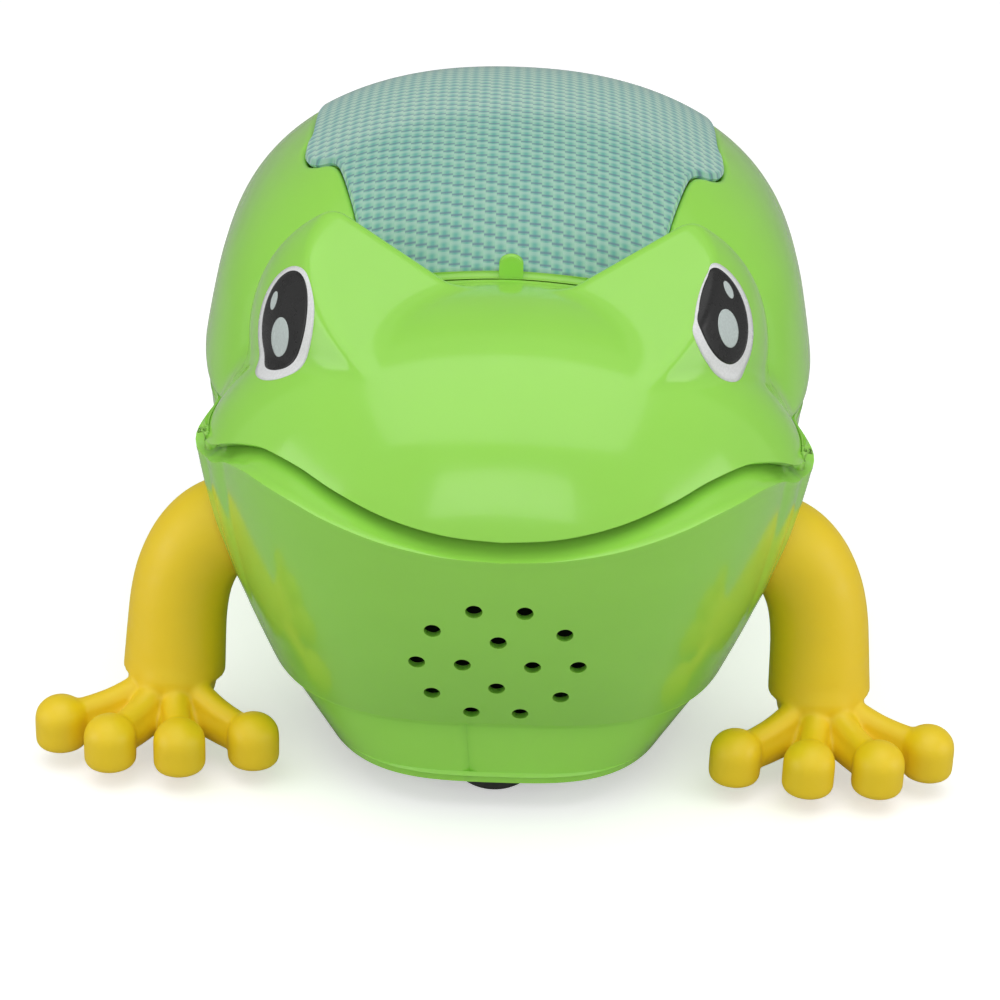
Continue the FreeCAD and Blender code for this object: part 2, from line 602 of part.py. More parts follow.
def drive_axle():
    """The drive axle with its crown wheel, two wheels and tyres."""
    centre = dim("turret_centre")
    node(cylinder("drive_axle_solid", "dims.axle_radius", 33.6, 0, centre - 16.8, "dims.wheel_radius", "y"),
         "drive_axle")
    pitch_radius = dim("tooth_module") * CROWN_TEETH / 2
    pitch_face = centre + dim("tooth_module") * PINION_TEETH / 2
    disc = cylinder("crown_disc", pitch_radius + 0.6, 1.8, 0, pitch_face + 0.7, "dims.wheel_radius", "y")
    teeth = []
    for k in range(CROWN_TEETH):
        tooth = bind(doc.addObject("Part::Box", "crown_tooth_%d" % k), Length=0.46, Width=1.2, Height=1.5)
        turn = FreeCAD.Rotation(V(0, 1, 0), 360.0 * k / CROWN_TEETH)
        corner = turn.multVec(V(-0.23, 0, pitch_radius - 0.9))
        tooth.Placement = FreeCAD.Placement(corner + V(0, pitch_face - 0.4, dim("wheel_radius")), turn)
        teeth.append(tooth)
    bore = cylinder("crown_bore", "dims.axle_radius", 4, 0, pitch_face - 1, "dims.wheel_radius", "y")
    node(cut("crown_solid", fuse("crown_whole", [disc] + teeth), [bore]), "crown_wheel")
    for side, mark in ((1, "rear"), (-1, "front")):
        start = centre + dim("wheel_offset") * side - dim("wheel_width") / 2
        wheel("drive_wheel_" + mark, "drive_tyre_" + mark, "dims.wheel_radius", 0, start,
              "dims.wheel_radius", "y")


# ---------------------------------------------------------------- gear train
PRESSURE_ANGLE = math.radians(20)
TOOTH_SHARE = 0.42


def involute(angle):
    return math.tan(angle) - angle


def flank_angle(radius, teeth):
    """Half the angle that a tooth fills at a radius, from the involute of its base circle."""
    pitch_radius = dim("tooth_module") * teeth / 2
    base_radius = pitch_radius * math.cos(PRESSURE_ANGLE)
    at_radius = math.acos(base_radius / max(radius, base_radius))
    return math.pi * TOOTH_SHARE / teeth + involute(PRESSURE_ANGLE) - involute(at_radius)


def add_gear(body, name, teeth, level, thickness, phase):
    """Pad a toothed wheel onto a body: a root disc, one involute tooth, and its pattern."""
    module = dim("tooth_module")
    root = module * (teeth / 2 - 1.2)
    tip = module * (teeth / 2 + 0.8)
    disc = sketch_on(body, name + "_root", level)
    disc.addGeometry(Part.Circle(V(0, 0, 0), V(0, 0, 1), root), False)
    pad = body.newObject("PartDesign::Pad", name + "_disc")
    pad.Profile = disc
    bind(pad, Length=thickness)
    outline = sketch_on(body, name + "_tooth", level)
    sides = []
    for sign in (-1, 1):
        points = []
        for radius in (root - 0.15, (root + tip) / 2, tip):
            angle = phase + sign * flank_angle(radius, teeth)
            points.append(V(radius * math.cos(angle), radius * math.sin(angle), 0))
        sides.append(points)
    for points in sides:
        outline.addGeometry(Part.Arc(*points), False)
    outline.addGeometry(Part.LineSegment(sides[0][0], sides[1][0]), False)
    outline.addGeometry(Part.LineSegment(sides[0][2], sides[1][2]), False)
    tooth = body.newObject("PartDesign::Pad", name + "_one_tooth")
    tooth.Profile = outline
    bind(tooth, Length=thickness)
    doc.recompute()
    pattern = body.newObject("PartDesign::PolarPattern", name + "_teeth")
    pattern.Originals = [tooth]
    pattern.Axis = (disc, ["N_Axis"])
    pattern.Angle = 360
    pattern.Occurrences = teeth
    body.Tip = pattern


def add_shaft(body, name, radius, level, length):
    """Pad a round shaft or boss onto a body."""
    sketch = sketch_on(body, name + "_circle", level)
    sketch.addGeometry(Part.Circle(V(0, 0, 0), V(0, 0, 1), radius), False)
    pad = body.newObject("PartDesign::Pad", name)
    pad.Profile = sketch
    bind(pad, Length=length)
    body.Tip = pad


def mesh_phase(direction, first_phase, first_teeth, second_teeth):
    """The second gear's phase that sets its tooth gap on the first gear's tooth."""
    offset = math.pi - (direction - first_phase) * first_teeth
    return direction + math.pi - offset / second_teeth


OUTPUT_TEETH = 40
WHEEL_TEETH = 36
SMALL_TEETH = 10
OUTPUT_LEVEL = 24.5
SECOND_LEVEL = 28.0
FIRST_LEVEL = 31.5
FACE = 2.4
OUTPUT = V(0, dim("turret_centre"), 0)
TO_SECOND = math.radians(124)
TO_FIRST = math.radians(60)
TO_MOTOR = math.radians(45)


def step(start, direction, teeth_a, teeth_b):
    """The centre of a gear that meshes with one at start."""
    distance = dim("tooth_module") * (teeth_a + teeth_b) / 2
    return start + V(distance * math.cos(direction), distance * math.sin(direction), 0)


SECOND = step(OUTPUT, TO_SECOND, OUTPUT_TEETH, SMALL_TEETH)
FIRST = step(SECOND, TO_FIRST, WHEEL_TEETH, SMALL_TEETH)
MOTOR = step(FIRST, TO_MOTOR, WHEEL_TEETH, SMALL_TEETH)


def gear_body(label, centre):
    body = doc.addObject("PartDesign::Body", label + "_body")
    body.Placement = FreeCAD.Placement(centre, FreeCAD.Rotation())
    return node(body, label)


def gear_train():
    """Motor pinion, two compound gears and the output shaft with its pinion and crank."""
    output = gear_body("output_gear", OUTPUT)
    add_gear(output, "output_wheel", OUTPUT_TEETH, OUTPUT_LEVEL, FACE, 0)
    add_shaft(output, "output_hub", 3.0, OUTPUT_LEVEL, 5)
    add_shaft(output, "output_shaft", dim("shaft_radius") + 0.5, 16.4, 22.6)
    add_gear(output, "drive_pinion", PINION_TEETH, 14.5, 2.2, math.pi / PINION_TEETH)
    add_shaft(output, "output_neck", 2.2, 16.6, 2.4)

    second = gear_body("gear_2", SECOND)
    add_gear(second, "second_pinion", SMALL_TEETH, OUTPUT_LEVEL - 0.3, 4.0,
             mesh_phase(TO_SECOND, 0, OUTPUT_TEETH, SMALL_TEETH))
    add_gear(second, "second_wheel", WHEEL_TEETH, SECOND_LEVEL, FACE, 0)
    add_shaft(second, "second_shaft", dim("shaft_radius"), 22.2, 14.1)

    first = gear_body("gear_1", FIRST)
    add_gear(first, "first_pinion", SMALL_TEETH, SECOND_LEVEL - 0.3, 4.0,
             mesh_phase(TO_FIRST, 0, WHEEL_TEETH, SMALL_TEETH))
    add_gear(first, "first_wheel", WHEEL_TEETH, FIRST_LEVEL, FACE, 0)
    add_shaft(first, "first_shaft", dim("shaft_radius"), 22.2, 14.1)

    pinion = gear_body("motor_pinion", MOTOR)
    add_gear(pinion, "motor_pinion_wheel", SMALL_TEETH, FIRST_LEVEL - 0.3, 3.0,
             mesh_phase(TO_MOTOR, 0, WHEEL_TEETH, SMALL_TEETH))
    add_shaft(pinion, "motor_shaft", dim("shaft_radius"), 30.6, 26)

    centre = dim("turret_centre")
    disc = cylinder("crank_disc", 5.5, 1.2, 0, centre, 37.2)
    pin = cylinder("crank_pin", 1.0, 4.2, 0, "dims.turret_centre - dims.crank_radius", 37.4)
    bore = cylinder("crank_bore", "dims.shaft_radius + 0.5", 1.8, 0, centre, 37.2)
    node(cut("crank_solid", fuse("crank_whole", [disc, pin]), [bore]), "crank")


def gearbox():
    """An open tray with four feet, and the cover that carries the motor."""
    floor = "dims.gearbox_bottom"
    mid_y = -31.0
    tray = box("gearbox_block", 38, 50, "dims.gearbox_height - 1.5", 0, mid_y, floor)
    hollow = box("gearbox_hollow", 35, 47, 20, 0, mid_y, "dims.gearbox_bottom + 1.5")
    straps = [box("gearbox_strap_front", 56, 6, 1.5, 0, -38, floor),
              box("gearbox_strap_rear", 56, 6, 1.5, 0, -10, floor)]
    holes = [cylinder("tray_output_bore", 3.2, 6, OUTPUT.x, OUTPUT.y, 20)]
    cover_holes = [cylinder("cover_output_bore", "dims.shaft_radius + 0.5 + dims.running_gap", 6,
                            OUTPUT.x, OUTPUT.y, 34),
                   cylinder("cover_motor_bore", 3.0, 6, MOTOR.x, MOTOR.y, 34)]
    for k, centre in enumerate((SECOND, FIRST)):
        radius = "dims.shaft_radius + dims.running_gap"
        holes.append(cylinder("tray_bore_%d" % k, radius, 6, centre.x, centre.y, 20))
        cover_holes.append(cylinder("cover_bore_%d" % k, radius, 6, centre.x, centre.y, 34))
    for k, (x, y) in enumerate(GEARBOX_POSTS):
        holes.append(cylinder("strap_hole_%d" % k, 1.1, 4, x, y, 21))
    whole = fuse("gearbox_whole", [cut("tray_walls", tray, [hollow])] + straps)
    node(cut("gearbox_solid", whole, holes), "gearbox_tray")
    cover = box("gearbox_lid", 38, 50, 1.5, 0, mid_y, "dims.gearbox_bottom + dims.gearbox_height - 1.5")
    cradle = cut("motor_cradle", box("motor_cradle_block", 24, 19, 8, MOTOR.x, MOTOR.y, 36.5),
                 [box("motor_cradle_seat", 20.2, 15.2, 10, MOTOR.x, MOTOR.y, 36.5)])
    node(cut("gearbox_cover_solid", fuse("cover_whole", [cover, cradle]), cover_holes), "gearbox_cover")
    for k, (x, y) in enumerate(GEARBOX_POSTS, start=1):
        screw("gearbox_screw_%d" % k, 2.2, 0.9, 8, x, y, 24.5, False)


def motor():
    """A flat-sided can, hollow for its rotor shaft, with a front boss."""
    round_can = cylinder("motor_round", 10, 24, MOTOR.x, MOTOR.y, 36.6)
    flats = box("motor_flats", 20, 15, 24, MOTOR.x, MOTOR.y, 36.6)
    can = common("motor_can", round_can, flats)
    bore = cylinder("motor_bore", "dims.shaft_radius + dims.running_gap", 21, MOTOR.x, MOTOR.y, 36)
    node(cut("motor_solid", can, [bore]), "motor")


# ---------------------------------------------------------------- electrics
def tilt_to_chin():
    """Rotation that lays a part's +Z against the inside of the sloping chin."""
    run = dim("rim_reach") - (dim("skirt_reach") + 1.5 - dim("skirt_centre"))
    rise = dim("rim_height") - dim("crease_height")
    return FreeCAD.Rotation(V(0, 0, 1), V(0, -rise, -run))


def speaker():
    """A paper-cone speaker against the back of the chin's holes."""
    turn = tilt_to_chin()
    out = turn.multVec(V(0, 0, 1))
    front = V(0, -70.4, dim("speaker_height"))

    def disc(name, radius, height, back):
        obj = bind(doc.addObject("Part::Cylinder", name), Radius=radius, Height=height)
        start = front - out * back
        obj.Placement = FreeCAD.Placement(start, turn)
        return obj

    frame = cut("speaker_frame_solid", disc("speaker_disc", "dims.speaker_radius", 3.6, 3.6),
                [disc("speaker_recess", "dims.speaker_radius - 1.6", 3.0, 2.6)])
    node(frame, "speaker_frame")
    node(disc("speaker_magnet_solid", 9, 4.5, 8.1), "speaker_magnet")
    rim = cut("cone_ring", disc("cone_disc", "dims.speaker_radius - 1.8", 1.0, 1.4),
              [disc("cone_hollow", 7.5, 3, 2.4)])
    node(fuse("speaker_cone_solid", [rim, disc("cone_cap", 7.6, 1.6, 1.6)]), "speaker_cone")


def boards():
    """The control board over the battery bay and the lamp board under the lens."""
    board = box("board_panel", 50, 40, 1.2, 0, 26, 34)
    posts = []
    for x in (-22, 22):
        for y in (10, 42):
            posts.append(cylinder("board_post_%d_%d" % (x + 22, y), 2.0, 8, x, y, 26))
    parts = [board, box("sound_chip", 12, 9, 1.6, -8, 22, 35.2),
             cylinder("board_capacitor", 3, 8, 14, 34, 35.2)]
    node(fuse("main_board_solid", parts), "main_board")
    tray = cut("bay_roof", box("bay_roof_block", 61, 50, 6, 0, 24.5, 20),
               [box("bay_roof_inside", 58, 46.9, 5, 0, 24.5, 19.5)])
    node(fuse("bay_cover_solid", [tray] + posts), "battery_bay_cover")
    node(box("lamp_board_solid", 34, 22, 1.2, 0, -2, 88), "lamp_board")
    legs = [cylinder("lamp_leg_%d" % x, 1.6, 52.8, x, -2, 35.2) for x in (-14, 14)]
    node(fuse("lamp_stand_solid", legs + [box("lamp_stand_bar", 30, 3, 2, 0, -2, 86)]), "lamp_stand")
    for k, x in enumerate((-10, 0, 10), start=1):
        stem = cylinder("lamp_stem_%d" % k, 2.5, 5, x, -2, 89.2)
        dome_top = ball("lamp_dome_%d" % k, 2.5, V(x, -2, 94.2))
        node(fuse("lamp_solid_%d" % k, [stem, dome_top]), "led_%d" % k)


def build():
    upper_shells()
    lower_shell()
    eye_stickers()
    lens_clip()
    arms()
    arm_drive()
    base_plate()
    screws()
    battery_bay()
    power_switch()
    rear_wheels()
    turret()
    drive_axle()
    gear_train()
    gearbox()
    motor()
    speaker()
    boards()


def check_and_export():
    doc.recompute()
    for obj in doc.Objects:
        if "Invalid" in obj.State or "Error" in obj.State:
            raise RuntimeError("%s did not build: %s" % (obj.Name, obj.State))
    os.makedirs("parts", exist_ok=True)
    for obj in NODES:
        shape = obj.Shape
        if shape.isNull() or not shape.isValid() or not shape.Solids:
            raise RuntimeError("%s has no valid solid" % obj.Label)
        print("%-22s %2d solid %9.1f mm3" % (obj.Label, len(shape.Solids), shape.Volume))
        shape.exportStep("parts/%s.step" % obj.Label)


build()
check_and_export()
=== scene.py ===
"""A moulded plastic crawling frog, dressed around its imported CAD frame.

The script works in millimetres and scales to the frame's metres when a mesh is made.
+Z is up, the frog faces -Y and +X is its left side.
"""
import json
import math

import bmesh
import bpy
import numpy as np
from mathutils import Matrix, Vector


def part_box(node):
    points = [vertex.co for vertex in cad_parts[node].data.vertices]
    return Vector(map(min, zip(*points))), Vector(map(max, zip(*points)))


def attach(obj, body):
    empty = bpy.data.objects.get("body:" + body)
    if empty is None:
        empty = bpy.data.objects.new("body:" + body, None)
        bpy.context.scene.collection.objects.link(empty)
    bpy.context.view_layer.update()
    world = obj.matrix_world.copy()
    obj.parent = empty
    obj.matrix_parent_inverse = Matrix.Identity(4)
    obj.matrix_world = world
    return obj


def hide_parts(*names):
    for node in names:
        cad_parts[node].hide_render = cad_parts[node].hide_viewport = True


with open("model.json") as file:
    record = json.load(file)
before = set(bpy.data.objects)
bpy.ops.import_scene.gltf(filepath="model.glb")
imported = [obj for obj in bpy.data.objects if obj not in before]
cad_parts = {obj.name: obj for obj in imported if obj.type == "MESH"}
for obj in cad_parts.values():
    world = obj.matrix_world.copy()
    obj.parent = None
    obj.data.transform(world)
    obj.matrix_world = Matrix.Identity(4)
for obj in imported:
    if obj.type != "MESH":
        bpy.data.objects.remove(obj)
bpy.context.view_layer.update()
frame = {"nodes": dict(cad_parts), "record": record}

MM = 0.001


def node_mm(name):
    """The corners of a CAD node in millimetres."""
    low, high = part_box(name)
    return np.array(low) / MM, np.array(high) / MM


# ---------------------------------------------------------------- sizes from the frame
LOWER_LOW, LOWER_HIGH = node_mm("lower_shell")
HALF_WIDTH = 62.5
RIM_HALF_WIDTH = 58.4
REACH = LOWER_HIGH[1]
RIM_Z = LOWER_HIGH[2]
SKIRT_Z = LOWER_LOW[2]
CROWN_Z = node_mm("lens_cover")[1][2]
HOLES = {"radius": 1.6, "height": 37.8, "outer": 15.2, "inner": 6.6}
PIVOT = (-33.0, 45.0)
PLAN_POWER = 3.2
ARCH_POWER = 2.2


# ---------------------------------------------------------------- mesh helpers
def make_object(name, verts, faces, body, material, smooth=True):
    """A mesh object from millimetre points, riding on a body."""
    mesh = bpy.data.meshes.new(name)
    mesh.from_pydata([tuple(c * MM for c in v) for v in verts], [], faces)
    mesh.validate()
    mesh.update()
    obj = bpy.data.objects.new(name, mesh)
    bpy.context.collection.objects.link(obj)
    if material:
        mesh.materials.append(material)
    if smooth:
        mesh.shade_smooth()
    if body:
        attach(obj, body)
    return obj


def grid_faces(rows, columns, closed=False, flip=False):
    """Quads over a grid of points stored row by row."""
    faces = []
    for r in range(rows - 1):
        for c in range(columns if closed else columns - 1):
            following = (c + 1) % columns
            quad = (r * columns + c, r * columns + following,
                    (r + 1) * columns + following, (r + 1) * columns + c)
            faces.append(quad[::-1] if flip else quad)
    return faces


def apply_modifiers(obj):
    """Bake an object's modifiers into its mesh."""
    graph = bpy.context.evaluated_depsgraph_get()
    mesh = bpy.data.meshes.new_from_object(obj.evaluated_get(graph))
    obj.modifiers.clear()
    obj.data = mesh
    return obj


def solidify(obj, thickness, offset=-1.0):
    """Give a skin its wall thickness, in millimetres, inwards unless told otherwise."""
    wall = obj.modifiers.new("wall", "SOLIDIFY")
    wall.thickness = thickness * MM
    wall.offset = offset
    wall.use_even_offset = False
    return apply_modifiers(obj)


def smoothstep(low, high, value):
    t = np.clip((value - low) / (high - low), 0, 1)
    return t * t * (3 - 2 * t)


def spline(points, samples):
    """Points spaced evenly along a smooth curve through given points."""
    points = np.array(points, float)
    padded = np.vstack([2 * points[0] - points[1], points, 2 * points[-1] - points[-2]])
    fine = []
    for k in range(len(points) - 1):
        p0, p1, p2, p3 = padded[k:k + 4]
        for t in np.linspace(0, 1, 40, endpoint=False):
            fine.append(0.5 * (2 * p1 + (p2 - p0) * t + (2 * p0 - 5 * p1 + 4 * p2 - p3) * t ** 2
                               + (3 * p1 - p0 - 3 * p2 + p3) * t ** 3))
    fine.append(points[-1])
    fine = np.array(fine)
    length = np.concatenate([[0], np.cumsum(np.linalg.norm(np.diff(fine, axis=0), axis=1))])
    wanted = np.linspace(0, length[-1], samples)
    return np.stack([np.interp(wanted, length, fine[:, axis]) for axis in range(fine.shape[1])], axis=1)


# ---------------------------------------------------------------- the moulded form
def ellipsoid(p, centre, radii):
    """Approximate signed distance to an ellipsoid."""
    q = (p - np.array(centre)) / np.array(radii)
    size = np.linalg.norm(q, axis=-1)
    slope = np.linalg.norm(q / np.array(radii), axis=-1)
    return size * (size - 1) / np.maximum(slope, 1e-6)


def smooth_union(a, b, radius):
    h = np.clip(0.5 + 0.5 * (b - a) / radius, 0, 1)
    return b * (1 - h) + a * h - radius * h * (1 - h)


def smooth_cut(a, b, radius):
    return -smooth_union(-a, -b, radius)


SKULL_CENTRE = (0.0, -45.0, 62.0)
SKULL_RADII = (58.6, 42.0, 38.0)
DOME_CENTRE = np.array([0.0, 22.0, 72.0])
DOME_RADII = np.array([HALF_WIDTH, REACH - 22.0, CROWN_Z + 2.5 - 72.0])
BROW = np.array([33.5, -33.0, 112.5])
RIDGE_FOOT = np.array([27.5, -65.5, 91.0])
PLATEAU_EDGE = np.array([12.0, -40.0, 101.0])
FLANK_CENTRE = np.array([20.6, -38.0, 84.0])
FLANK_OUTWARD = np.array([0.722, -0.692, 0.0])
FLANK_RADII = (25.9, 34.6, 31.5)


def dome_distance(p):
    """The back: full along its sides, rounder along its crown."""
    q = np.abs(p - DOME_CENTRE) / DOME_RADII
    along = np.clip(q[..., 1], 0, 0.995)
    wide = (1 - along ** 3) ** (1 / 3)
    tall = np.sqrt(1 - along ** 2)
    rise = np.where(p[..., 2] < DOME_CENTRE[2], q[..., 2] * 3.2, q[..., 2] / tall)
    across = ((q[..., 0] / wide) ** ARCH_POWER + rise ** ARCH_POWER) ** (1 / ARCH_POWER)
    return np.maximum((across - 1) * tall, q[..., 1] - 1) * DOME_RADII[2]


def shoulder_distance(p):
    """The low band that carries the rim's outline up into the dome and cheeks."""
    q = np.abs(p - np.array([0.0, 0.0, RIM_Z - 4.5])) / np.array([RIM_HALF_WIDTH, REACH - 2.0, 26.0])
    plan = (q[..., 0] ** PLAN_POWER + q[..., 1] ** PLAN_POWER) ** (1 / PLAN_POWER)
    size = np.sqrt(plan ** 2 + q[..., 2] ** 2)
    return (size - 1) * 26.0


def back_distance(p):
    body = smooth_union(dome_distance(p), shoulder_distance(p), 8.0)
    return smooth_union(body, ellipsoid(p, SKULL_CENTRE, SKULL_RADII), 5.0)


def brow_distance(p):
    """An eye's wedge: a rounded flank, a flat inner facet and a steep back."""
    q = p.copy()
    q[..., 0] = np.abs(q[..., 0])
    facet = np.cross(PLATEAU_EDGE - BROW, RIDGE_FOOT - BROW)
    facet = facet / np.linalg.norm(facet)
    facet = facet if facet[2] > 0 else -facet
    back = np.array([-(PLATEAU_EDGE - BROW)[1], (PLATEAU_EDGE - BROW)[0], 0.0])
    back = back / np.linalg.norm(back)
    back = back if back[1] > 0 else -back
    offset = q - FLANK_CENTRE
    sideways = np.cross([0, 0, 1], FLANK_OUTWARD)
    turned = np.stack([offset @ FLANK_OUTWARD, offset @ sideways, offset[..., 2]], axis=-1)
    flank = ellipsoid(turned, (0.0, 0.0, 0.0), FLANK_RADII)
    wedge = smooth_cut(flank, (q - BROW) @ facet, 2.0)
    return smooth_cut(wedge, (q - BROW) @ back - 0.6, 3.0)


def head_distance(p):
    return smooth_union(back_distance(p), brow_distance(p), 1.8)


def cast(origin, directions, distance, reach=140.0, step=1.0):
    """First point at which rays from inside leave the form."""
    origin = np.array(origin, float)
    directions = directions / np.linalg.norm(directions, axis=-1, keepdims=True)
    near = np.zeros(directions.shape[:-1])
    open_rays = np.ones(near.shape, bool)
    for t in np.arange(8.0, reach, step):
        outside = distance(origin + directions * t) > 0
        near = np.where(open_rays & ~outside, t, near)
        open_rays &= ~outside
    far = near + step
    for _ in range(18):
        middle = (near + far) / 2
        outside = distance(origin + directions * middle[..., None]) > 0
        near = np.where(outside, near, middle)
        far = np.where(outside, middle, far)
    return origin + directions * near[..., None]


def drop(plan, distance, top=140.0):
    """Surface heights above plan points, found from above."""
    plan = np.asarray(plan, float)
    low = np.full(len(plan), RIM_Z)
    high = np.full(len(plan), top)
    for _ in range(30):
        middle = (low + high) / 2
        outside = distance(np.column_stack([plan, middle])) > 0
        high = np.where(outside, middle, high)
        low = np.where(outside, low, middle)
    return np.column_stack([plan, low])


SMILE = spline([(0, 67.8), (10, 68.4), (20, 70.2), (30, 73.1), (37, 75.3), (44, 76.1), (48.5, 75.1),
                (52.4, 73.2), (56.8, 70.0), (64, 67.0)], 200)


def mouth_z(x):
    """Height of the smile: low in the middle, rising to the cheeks, dipping at the corners."""
    return np.interp(np.abs(x), SMILE[:, 0], SMILE[:, 1])


CORNER_X = 56.8
MIDDLE = np.array([0.0, -8.0])


def mouth_curve(samples):
    """The upper lip's edge on the skull, from the right corner to the left one."""
    u = np.linspace(-1, 1, samples)
    x = CORNER_X * np.sin(u * math.pi / 2)
    z = mouth_z(x)
    inside = 1 - (x / SKULL_RADII[0]) ** 2 - ((z - SKULL_CENTRE[2]) / SKULL_RADII[2]) ** 2
    y = SKULL_CENTRE[1] - SKULL_RADII[1] * np.sqrt(np.maximum(inside, 0.0))
    return np.column_stack([x, y, z])


NECK_PLAN = [(56.8, -44), (57, -38), (53, -32.5), (44, -28.5), (34, -30), (23, -33.3), (12, -34.6),
             (0, -34.8)]


def neck_curve(samples):
    """The seam between head and back shells, from the right corner over the top to the left."""
    half = drop(NECK_PLAN, back_distance)
    half[0] = mouth_curve(3)[-1]
    mirrored = half[:-1] * np.array([-1.0, 1.0, 1.0])
    return spline(np.vstack([mirrored, half[::-1]]), samples)


def superellipse(angle, half_width, half_length, centre):
    c = np.cos(angle)
    s = np.sin(angle)
    x = np.sign(c) * np.abs(c) ** (2 / PLAN_POWER) * half_width
    y = np.sign(s) * np.abs(s) ** (2 / PLAN_POWER) * half_length + centre
    return x, y


# ---------------------------------------------------------------- shells
WALL = 1.8
SWELL = 2.2
PARTING_DEPTH = 0.8
FOLD_HEIGHT = 19.0


def patch_rows(start, end, rows, origin, distance):
    """Rows of surface points between two edge curves, cast from inside the form."""
    start_way = start - np.array(origin)
    end_way = end - np.array(origin)
    start_way = start_way / np.linalg.norm(start_way, axis=1, keepdims=True)
    end_way = end_way / np.linalg.norm(end_way, axis=1, keepdims=True)
    v = np.linspace(0, 1, rows)[:, None, None]
    return cast(origin, start_way * (1 - v) + end_way * v, distance)


def tuck(rows, origin, amounts, at_end=False):
    """Pull the first (or last) rows towards the inside, so that an edge rolls into its seam."""
    origin = np.array(origin)
    order = range(len(amounts)) if not at_end else range(-1, -1 - len(amounts), -1)
    for amount, row in zip(amounts, order):
        way = origin - rows[row]
        rows[row] += way / np.linalg.norm(way, axis=1, keepdims=True) * amount
    return rows


def head_shell(material):
    """Forehead, brows and cheeks: from the smile up to the neck seam."""
    columns, rows = 421, 240
    origin = (0.0, -56.0, 62.0)
    skin = patch_rows(mouth_curve(columns), neck_curve(columns), rows, origin, head_distance)
    fade = 1 - (np.abs(skin[0, :, :1]) / CORNER_X) ** 4
    skin = tuck(skin, origin, (1.5 * fade, 0.7 * fade, 0.25 * fade))
    skin = tuck(skin, origin, (0.35, 0.1), at_end=True)
    obj = make_object("head_shell_skin", skin.reshape(-1, 3), grid_faces(rows, columns), "chassis", material)
    solidify(obj, WALL)
    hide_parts("head_shell")
    return obj


def lip_edge(plan):
    """The head's lower edge in the direction of plan points: its radius and height."""
    edge = mouth_curve(241)
    heading = np.arctan2(edge[:, 1] - MIDDLE[1], edge[:, 0])
    radius = np.hypot(edge[:, 0], edge[:, 1] - MIDDLE[1])
    way = np.arctan2(plan[:, 1] - MIDDLE[1], plan[:, 0])
    return np.interp(way, heading, radius), np.interp(way, heading, edge[:, 2])


def rim_curve(angle):
    """The lower lip's proud edge running on as the side seam, the seam above it, and the cheek line."""
    x, y = superellipse(angle, RIM_HALF_WIDTH + 0.6, REACH - 0.2, 0.0)
    lip = smoothstep(-38, -48, y)[:, None]
    directions = np.column_stack([x, y, np.zeros_like(x)])
    side = cast((0.0, 0.0, RIM_Z + 0.3), directions, back_distance)[:, :2]
    plan = np.column_stack([x, y])
    radius, height = lip_edge(plan)
    outward = plan - MIDDLE
    reach = np.linalg.norm(outward, axis=1, keepdims=True)
    outward = outward / reach
    front = MIDDLE + outward * np.maximum(reach, radius[:, None] + 0.5)
    rise = (mouth_z(CORNER_X) - RIM_Z - 0.3) * smoothstep(-5, -44, y)
    cheek = np.column_stack([side - outward * 0.4, RIM_Z + 0.9 + rise])
    under = np.column_stack([MIDDLE + outward * (radius[:, None] - 3.6), height - 0.3])
    rim = np.column_stack([side, RIM_Z + 0.3 + rise]) * (1 - lip)
    rim += np.column_stack([front, height - 3.4]) * lip
    return rim, cheek * (1 - lip) + under * lip, cheek


def lower_shell(material):
    """Skirt, belly and chin below the smile, with the speaker's ring of holes."""
    columns = 360
    angle = np.linspace(0, 2 * math.pi, columns, endpoint=False)
    foot_x, foot_y = superellipse(angle, 38.0, 71.0, 5.0)
    foot = np.column_stack([foot_x, foot_y, np.full(columns, SKIRT_Z)])
    fold_x, fold_y = superellipse(angle, 49.0, 72.3, 5.0)
    fold = np.column_stack([fold_x, fold_y, np.full(columns, FOLD_HEIGHT)])
    rim, seam, _ = rim_curve(angle)
    front = smoothstep(-38, -48, rim[:, 1])[:, None]
    inward = np.array([*MIDDLE, 0.0]) - rim
    inward[:, 2] = 0
    inward = inward / np.linalg.norm(inward, axis=1, keepdims=True)
    ledge = fold + inward * 1.5 - np.array([0, 0, 0.5])
    parting = PARTING_DEPTH * (np.arange(columns) == columns * 3 // 4 - 2)[:, None]
    rows = [foot + inward * 1.2 + np.array([0, 0, 0.9]), foot + inward * 0.35 + np.array([0, 0, 0.2]), foot]
    for t in np.linspace(0, 1, 14)[1:]:
        rows.append(foot * (1 - t) + ledge * t + inward * parting)
    rows += [fold + inward * 1.2 - np.array([0, 0, 0.1]), fold + inward * 0.35, fold + np.array([0, 0, 0.15]),
             fold - inward * 0.05 + np.array([0, 0, 0.5])]
    for t in np.linspace(0, 1, 90)[1:-3]:
        rows.append(fold * (1 - t) + rim * t - inward * SWELL * math.sin(math.pi * t) ** 0.9)
    rows += [rim * 0.985 + fold * 0.015 - inward * 0.25, rim - inward * 0.1,
             rim + inward * 0.5 + np.array([0, 0, 0.32]) * front]
    for t in np.linspace(0.16, 1, 10):
        dip = 0.6 * math.sin(math.pi * t) * front
        rows.append(rim * (1 - t) + seam * t + inward * dip)
    rows.append(seam + inward * 2.2 - np.array([0, 0, 0.6]))
    points = np.array(rows)
    obj = make_object("lower_shell_skin", points.reshape(-1, 3), grid_faces(len(rows), columns, closed=True),
                      "chassis", material)
    solidify(obj, WALL)
    cut_holes(obj, speaker_holes() + [("x", 0.0, PIVOT[0], PIVOT[1], 10.5)])
    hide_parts("lower_shell")
    return obj


